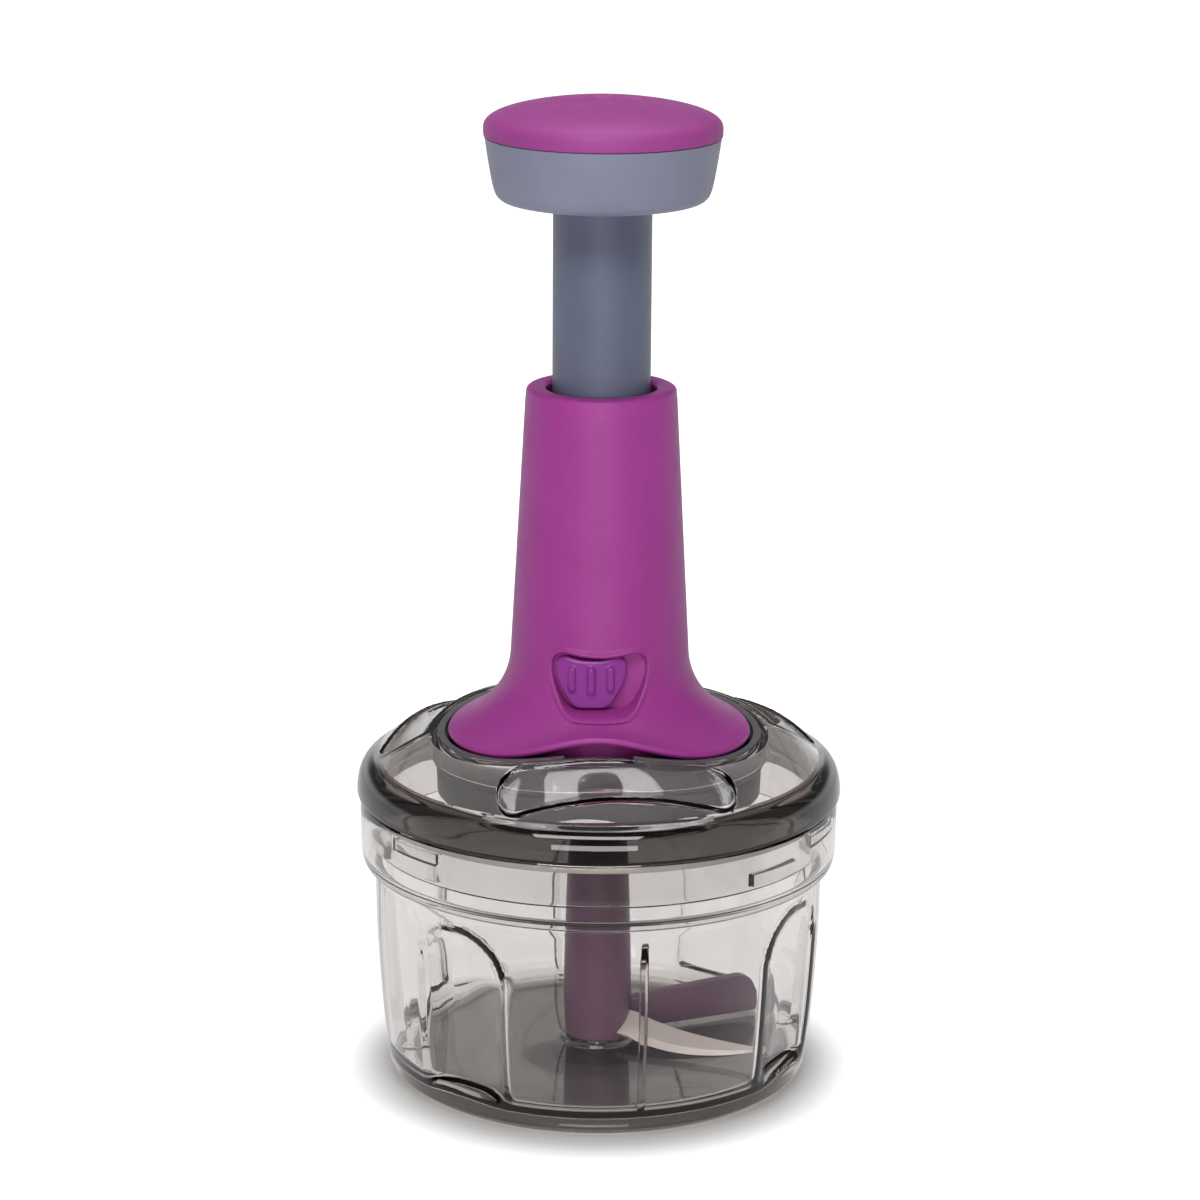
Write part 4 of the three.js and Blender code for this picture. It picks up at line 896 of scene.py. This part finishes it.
# Plunger
plunger = {
    "radius": 15, "bore": 12.5, "bottom": 163.9, "flangeRadius": 19, "hubTop": 290.4,
    "knobRadius": 36, "seam": 296.4, "under": 276.6, "top": 307.95,
    "badge": [18.5, 5, 2], "badgeFloor": 306.7,
    "plugBottom": 284.6, "screwCircle": 17.1, "screwHole": 1.4, "stroke": 55, "crown": [0.62, 0.72],
}


def makeTube():
    p = plunger
    radius, bore, flange, bottom = p["radius"], p["bore"], p["flangeRadius"], p["bottom"]
    low = p["hubTop"] + seat
    high = low + 1.9
    profile = rounded([
        [radius, bottom, 0.5], [radius, low, 0], [flange, low, 0.3], [flange, high, 0.3],
        [bore, high, 0.3], [bore, bottom, 0.3],
    ], closed=True)
    piece = revolve("plunger_shaft", lambda a: profile, around(160))
    half = column["tongueHalf"] + running + 0.2
    rest = -column["travel"] / 2
    end = column["lockHeight"] + p["stroke"] + column["slotHalf"]
    channel = block("channel", [rest - half, rest + half], [-18, -11], [bottom - 3, end])
    pocket = block("pocket", [rest - half, rest + 5 + half], [-18, -11], [end - 3.9, end + 0.01])
    holes = screwHoles(p["screwHole"], p["hubTop"] - 4, p["hubTop"] + 4, p["screwCircle"])
    combine(piece, [channel, pocket, *holes], "DIFFERENCE")
    # The darker slate copy: painted shade under the knob
    place(piece, slateTube, "plunger", "slate", "plunger_tube")


def makeKnobBase():
    p = plunger
    radius, under, seam = p["knobRadius"], p["under"], p["seam"]
    floor, hubTop = under + 3, p["hubTop"]
    bore, well = p["radius"] + seat, p["flangeRadius"] + 1
    outside = spline([
        [radius - 8, under], [radius - 5, under + 0.9], [radius - 3.2, under + 3.6],
        [radius - 1.7, under + 11], [radius - 0.4, seam - 0.35],
    ], 8)
    inside = rounded([
        [radius - 0.6, seam - 0.2, 0.1], [radius - 2.6, seam - 0.2, 0.3], [radius - 4, under + 11, 2],
        [radius - 5.6, under + 5, 2], [radius - 7.4, floor, 1.5], [well, floor, 0.4],
        [well, hubTop, 0.4], [bore, hubTop, 0.3], [bore, under + 0.4, 0.5],
    ])
    piece = revolve("knob_collar", lambda a: [*outside, *inside], around(240))
    holes = screwHoles(p["screwHole"], hubTop - 8, hubTop + 1, p["screwCircle"])
    combine(piece, holes, "DIFFERENCE")
    # The lighter slate copy: painted light from below
    place(piece, slate, "plunger", "slate", "knob_base")


# Distance outside the bare badge panel's outline
def badgeDistance(x, y):
    halfX, halfY, corner = plunger["badge"]
    across = np.maximum(np.abs(x) - halfX + corner, 0)
    along = np.maximum(np.abs(y) - halfY + corner, 0)
    return np.hypot(across, along) - corner


# A bare shallow panel in the top of the cap, with a soft rim
def badgeDip(points):
    x, y, z = points[..., 0], points[..., 1], points[..., 2]
    distance = badgeDistance(x, y)
    onTop = z > plunger["seam"] + 2
    inside = (1 - smooth(distance, -0.45, 0.05)) * onTop
    rim = np.clip(1 - np.abs(distance - 0.4) / 0.7, 0, 1) * onTop
    floor = np.minimum(z, plunger["badgeFloor"])
    return np.stack([x, y, lerp(z, floor, inside) - 0.12 * rim * rim], -1)


def makeKnobCap():
    p = plunger
    radius, seam = p["knobRadius"], p["seam"]
    under = p["hubTop"] + seat + 3.9
    rise, plug = p["top"] - seam, p["bore"] - 0.6
    roundness, lift = p["crown"]
    crown = []
    for i in range(91):
        share = i / 90
        reach = math.cos(share * math.pi / 2) ** roundness if share < 1 else 0
        crown.append([radius * reach, seam + 2 + (rise - 2) * share ** lift])
    skirt = rounded([
        [0, p["plugBottom"]], [plug, p["plugBottom"], 0.4], [plug, under, 0.4],
        [radius - 6, under, 0.3], [radius - 5.8, under - 2.8, 0.3], [radius - 4.1, under - 2.8, 0.3],
        [radius - 3.4, seam, 0.3], [radius - 0.1, seam, 0.25], [radius, seam + 1.4],
    ])
    piece = revolve("knob_dome", lambda a: [*skirt, *crown], around(480), closed=False, reshape=badgeDip)
    place(piece, purpleCap, "plunger", "purple", "knob_cap")


makeTube()
makeKnobBase()
makeKnobCap()
print("plunger made")


# Blade set
blades = {
    "stemBottom": 10.7, "stemTop": 89.2, "socket": 5.8, "socketDepth": 9.8, "pinTop": 24, "reach": 54,
    "tang": 9, "thickness": 1.2, "root": 4.6, "clear": 13, "grind": [0.72, 0.92],
    "lower": [62, 16.2, 38, 6], "upper": [188, 36, 22, 0],
    "armAzimuth": 113, "armThickness": 4, "armRoot": 7.4, "armBottom": 10.2, "armTop": 22.5,
}


def makeStem():
    b = blades
    low, top = b["stemBottom"], b["stemTop"]
    floor, tip = top - b["socketDepth"], b["pinTop"] + 0.6
    outside = spline([
        [10.2, low + 3.4], [10.7, 24], [10.4, 40], [9.8, 60], [9.1, top - 6], [9, top - 0.8],
    ], 6)
    bore = bowl["pinRadius"] + seat
    lowEnd = rounded([[0, tip], [bore, tip, 0.2], [bore, low, 0.3], [10.1, low, 0.6], [10.15, low + 1.6]])
    topEnd = rounded([
        [9, top - 0.7], [9, top, 0.6], [b["socket"], top, 0.5], [b["socket"], floor, 0.4], [0, floor],
    ])
    profile = [*lowEnd, *outside, *topEnd]
    piece = revolve("blade_hub_stem", lambda a: profile, around(96), closed=False)
    fins = [
        block("fin", sorted([side * 3.4, side * 6.6]), [-1.1, 1.1], [floor - 0.5, top - 1.2])
        for side in (-1, 1)
    ]
    combine(piece, fins, "UNION")
    cuts = [bladeCutter(b["lower"]), bladeCutter(b["upper"])]
    half = b["armThickness"] / 2 + seat
    inner, outer = b["armRoot"] - seat, b["clear"]
    outline = [(inner, low - 1), (outer, low - 1), (outer, b["armTop"]), (inner, b["armTop"])]
    at = turned(b["armAzimuth"])
    cuts.append(extruded("armSlot", outline, -half, half, lambda u, v, d: at(u, d, v)))
    combine(piece, cuts, "DIFFERENCE")
    place(piece, stemPurple, "blade", "stem_purple", "blade_stem")


# Places (along, across, up) of a blade drawn flat
def bladePlace(azimuth, height, tilt, droop):
    at = turned(azimuth)
    t, d = math.radians(tilt), math.radians(droop)

    def move(u, v, w):
        v, w = v * math.cos(t) - w * math.sin(t), v * math.sin(t) + w * math.cos(t)
        u, w = u * math.cos(d) + w * math.sin(d), -u * math.sin(d) + w * math.cos(d)
        return at(u, v, w + height)
    return move


def bladeCutter(spot):
    half, deep = blades["tang"] / 2 + seat, blades["thickness"] / 2 + seat
    root, clear = blades["root"] - seat, blades["clear"]
    outline = [(root, -half), (clear, -half), (clear, half), (root, half)]
    return extruded("bladeSlot", outline, -deep, deep, bladePlace(*spot))


# A sickle blade, ground thin along its outer edge
def makeBlade(name, spot, node):
    b = blades
    half, reach, root, clear = b["tang"] / 2, b["reach"], b["root"], b["clear"]
    backEnd, edgeEnd = [reach - 0.8, half + 0.4], [reach, half - 1]
    back = [[root, half], *bezier([clear, half], [reach * 0.5, half - 3], backEnd, 24)]
    edge = [[root, -half], *bezier([clear, -half], [reach * 0.62, -half - 3.5], edgeEnd, 24)]
    move = bladePlace(*spot)
    thick = b["thickness"] / 2
    start, depth = b["grind"]
    shares = [0, 0.04, 0.5, start, 0.98, 1]
    points, faces = [], []
    for side in (1, -1):
        for (ux, uv), (ex, ev) in zip(back, edge):
            ground = depth * float(smooth(ex, clear, clear + 4))
            for share in shares:
                level = thick * (1 - ground * max(0, (share - start) / (1 - start)))
                level -= 0.08 * (share == 0)
                points.append(move(lerp(ux, ex, share), lerp(uv, ev, share), side * level))
    rows, width = len(back), len(shares)
    other = rows * width
    for i in range(rows - 1):
        for j in range(width - 1):
            a = i * width + j
            faces.append([a, a + 1, a + width + 1, a + width])
            faces.append([other + a, other + a + width, other + a + width + 1, other + a + 1])
        for a in (i * width, i * width + width - 1):
            faces.append([a, a + width, other + a + width, other + a])
    for i in (0, rows - 1):
        for a in range(i * width, i * width + width - 1):
            faces.append([a, a + 1, other + a + 1, other + a])
    piece = finishMesh(name, points, faces, 12)
    place(piece, bladeSteel, "blade", "steel", node)


def makeArm():
    b = blades
    low, top, reach = b["armBottom"], b["armTop"], b["reach"]
    outline = [[b["armRoot"], low], [reach + 2, low]]
    outline += [[reach + 4, low + 2], *bezier([reach, top - 2], [reach - 2, top], [reach - 5, top], 6)]
    outline += [[b["armRoot"], top - 2]]
    at = turned(b["armAzimuth"])
    half = b["armThickness"] / 2
    piece = extruded("mixing_paddle", outline, -half, half, lambda u, v, d: at(u, d, v), 0.5)
    place(piece, stemPurple, "blade", "stem_purple", "paddle_arm")


makeStem()
makeBlade("low_sickle_blade", blades["lower"], "lower_blade")
makeBlade("high_sickle_blade", blades["upper"], "upper_blade")
makeArm()
print("blade set made")


# Return spring, grown along a spiral
spring = {"radius": 9.4, "wire": 0.75, "coils": 11, "bottom": 187.85, "top": 283.55}


def makeSpring():
    tree = bpy.data.node_groups.new("coil", "GeometryNodeTree")
    face = tree.interface
    face.new_socket("Geometry", in_out="INPUT", socket_type="NodeSocketGeometry")
    face.new_socket("Geometry", in_out="OUTPUT", socket_type="NodeSocketGeometry")
    values = {
        "Coils": float(spring["coils"]), "Radius": spring["radius"] * mm, "Wire": spring["wire"] * mm,
        "Height": (spring["top"] - spring["bottom"]) * mm, "Material": springSteel,
    }
    sockets = {}
    for name, value in values.items():
        kind = "NodeSocketFloat" if isinstance(value, float) else "NodeSocketMaterial"
        sockets[name] = face.new_socket(name, in_out="INPUT", socket_type=kind)
    add = nodeAdder(tree, "")
    given = add("NodeGroupInput").outputs
    spiral = add("GeometryNodeCurveSpiral", {
        "Resolution": 40, "Rotations": given["Coils"], "Height": given["Height"],
        "Start Radius": given["Radius"], "End Radius": given["Radius"],
    })
    circle = add("GeometryNodeCurvePrimitiveCircle", {"Resolution": 14, "Radius": given["Wire"]})
    wire = add("GeometryNodeCurveToMesh", {
        "Curve": spiral, "Profile Curve": circle, "Fill Caps": True,
    })
    real = add("GeometryNodeRealizeInstances", {0: wire})
    paint = add("GeometryNodeSetMaterial", {
        "Geometry": real, "Material": given["Material"],
    })
    add("NodeGroupOutput", {0: paint})

    piece = newObject("coil_spring", bpy.data.meshes.new("coil"))
    grow = piece.modifiers.new("coil", "NODES")
    grow.node_group = tree
    for name, value in values.items():
        grow[sockets[name].identifier] = value
    bpy.context.view_layer.update()
    applyAll(piece, 40)
    piece.data.transform(Matrix.Translation((0, 0, spring["bottom"] * mm)))
    place(piece, springSteel, "lid", "steel", "return_spring")
    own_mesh(piece)


makeSpring()
print("spring made")

# Hidden pieces keep their CAD nodes and get finished materials.
for nodeName, material in {
    "blade_pin": turnedSteel, "guide_bush": blackPlastic, "drive_nut": nylon, "drive_screw": turnedSteel,
    "clutch_driver": nylon, "thrust_washer": turnedSteel, "spring_cup": nylon,
    **{f"{holder}_screw_{i}": turnedSteel for holder in ("housing", "knob") for i in (1, 2, 3)},
}.items():
    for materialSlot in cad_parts[nodeName].material_slots:
        materialSlot.material = material
print("hidden pieces finished")


# Camera and studio in metres, as the photograph was taken. The focal length is in widths of the picture.
view = {"distance": 1.170, "height": 0.4712, "pitch": 15.25, "focal": 3925 / 1200, "roll": 0.4}
studio = {
    "ambient": 0.07, "front": 0.1, "ceiling": 0.15, "through": 0.95, "bounce": 0.3,
    "matt": 0.62, "dimMatt": 0.05,
    "floorGlow": 0.78, "floorFar": 1.1, "floorBehind": 0.8, "floorHalf": 6.0,
    "lamps": {
        "key light": [(-0.12, -1.1, 1.45), (0, 0, 0.15), (1.3, 0.45), 16],
        "front light": [(-0.05, -1.7, 0.4), (0, 0, 0.15), (1.2, 0.35), 8.5],
        "top light": [(0, 0.3, 1.5), (0, 0, 0.1), (1.0, 0.8), 8],
    },
}


def makeCamera():
    data = bpy.data.cameras.new("camera")
    data.sensor_width = 36
    data.lens = data.sensor_width * view["focal"]
    camera = newObject("camera", data)
    camera.location = (0, -view["distance"], view["height"])
    camera.rotation_mode = "QUATERNION"
    tilt = math.radians(90 - view["pitch"])
    roll = math.radians(view["roll"])
    camera.rotation_quaternion = Quaternion((1, 0, 0), tilt) @ Quaternion((0, 0, 1), roll)
    bpy.context.scene.camera = camera


def makeLamp(name, location, target, size, power):
    data = bpy.data.lights.new(name, "AREA")
    data.shape = "RECTANGLE"
    data.size, data.size_y = size
    data.energy = power
    lamp = newObject(name, data)
    lamp.location = location
    lamp.rotation_mode = "QUATERNION"
    lamp.rotation_quaternion = (Vector(target) - Vector(location)).to_track_quat("-Z", "Y")


# White to the camera and through clear plastic. A gloss shows a bright band behind, a dim front and ceiling.
def makeWorld():
    world = bpy.data.worlds.new("studio")
    bpy.context.scene.world = world
    world.use_nodes = True
    world.node_tree.nodes.clear()
    add = nodeAdder(world.node_tree)
    point = add("TexCoord").outputs["Generated"]
    direction = add("SeparateXYZ", {0: point}).outputs
    band = fade(add, direction["Z"], 0.1, 0.3, 1.0, studio["ceiling"])
    behind = fade(add, direction["Y"], -0.2, 0.3, studio["front"], 1.0)
    mirrored = add("Math", {0: band, 1: behind}, operation="MULTIPLY")
    path = add("LightPath").outputs
    seen = pick(add, path["Is Glossy Ray"], studio["ambient"], mirrored)
    seen = pick(add, path["Is Transmission Ray"], seen, studio["through"])
    seen = pick(add, path["Is Camera Ray"], seen, 1.0)
    background = add("Background", {"Color": (1, 1, 1, 1), "Strength": seen})
    add("OutputWorld", {"Surface": background})


# The floor's own glow, for each kind of ray. To the camera it fades out in a ring under the bowl, a painted
# shadow added to the lamps' shadows there.
def floorGlow(add, spot, path):
    distance = add("VectorMath", {0: spot}, operation="LENGTH").outputs["Value"]
    y = add("SeparateXYZ", {0: spot}).outputs["Y"]
    far = fade(add, distance, 0.2, 0.8, studio["floorGlow"], studio["floorFar"])
    # Painted shadow: no glow to the camera within 60 mm of the middle, fading in by 88 mm
    near = fade(add, distance, 0.06, 0.088, 0.0, far)
    mirrored = fade(add, y, -0.25, 0.1, studio["front"], studio["floorBehind"])
    through = fade(add, y, -0.12, 0.0, studio["front"], 1.0)
    seen = pick(add, path["Is Camera Ray"], studio["bounce"], near)
    seen = pick(add, path["Is Glossy Ray"], seen, mirrored)
    seen = pick(add, path["Is Transmission Ray"], seen, through)
    return add("Emission", {"Color": (1, 1, 1, 1), "Strength": seen})


def makeFloor():
    half = studio["floorHalf"]
    mesh = bpy.data.meshes.new("floor")
    corners = [(-half, -half, 0), (half, -half, 0), (half, half, 0), (-half, half, 0)]
    mesh.from_pydata(corners, [], [[0, 1, 2, 3]])
    floor = newObject("floor", mesh)
    material, add, spot = startMaterial("pale floor")
    path = add("LightPath").outputs
    bent = add("Math", {
        0: path["Is Glossy Ray"], 1: path["Is Transmission Ray"],
    }, operation="MAXIMUM")
    matt = pick(add, bent, studio["matt"], studio["dimMatt"])
    diffuse = add("BsdfDiffuse", {"Color": matt})
    both = add("AddShader", {0: diffuse, 1: floorGlow(add, spot, path)})
    add("OutputMaterial", {"Surface": both})
    mesh.materials.append(material)


bpy.context.scene.view_settings.view_transform = "Standard"
makeCamera()
makeWorld()
makeFloor()
for lampName, lamp in studio["lamps"].items():
    makeLamp(lampName, *lamp)
print("studio made")
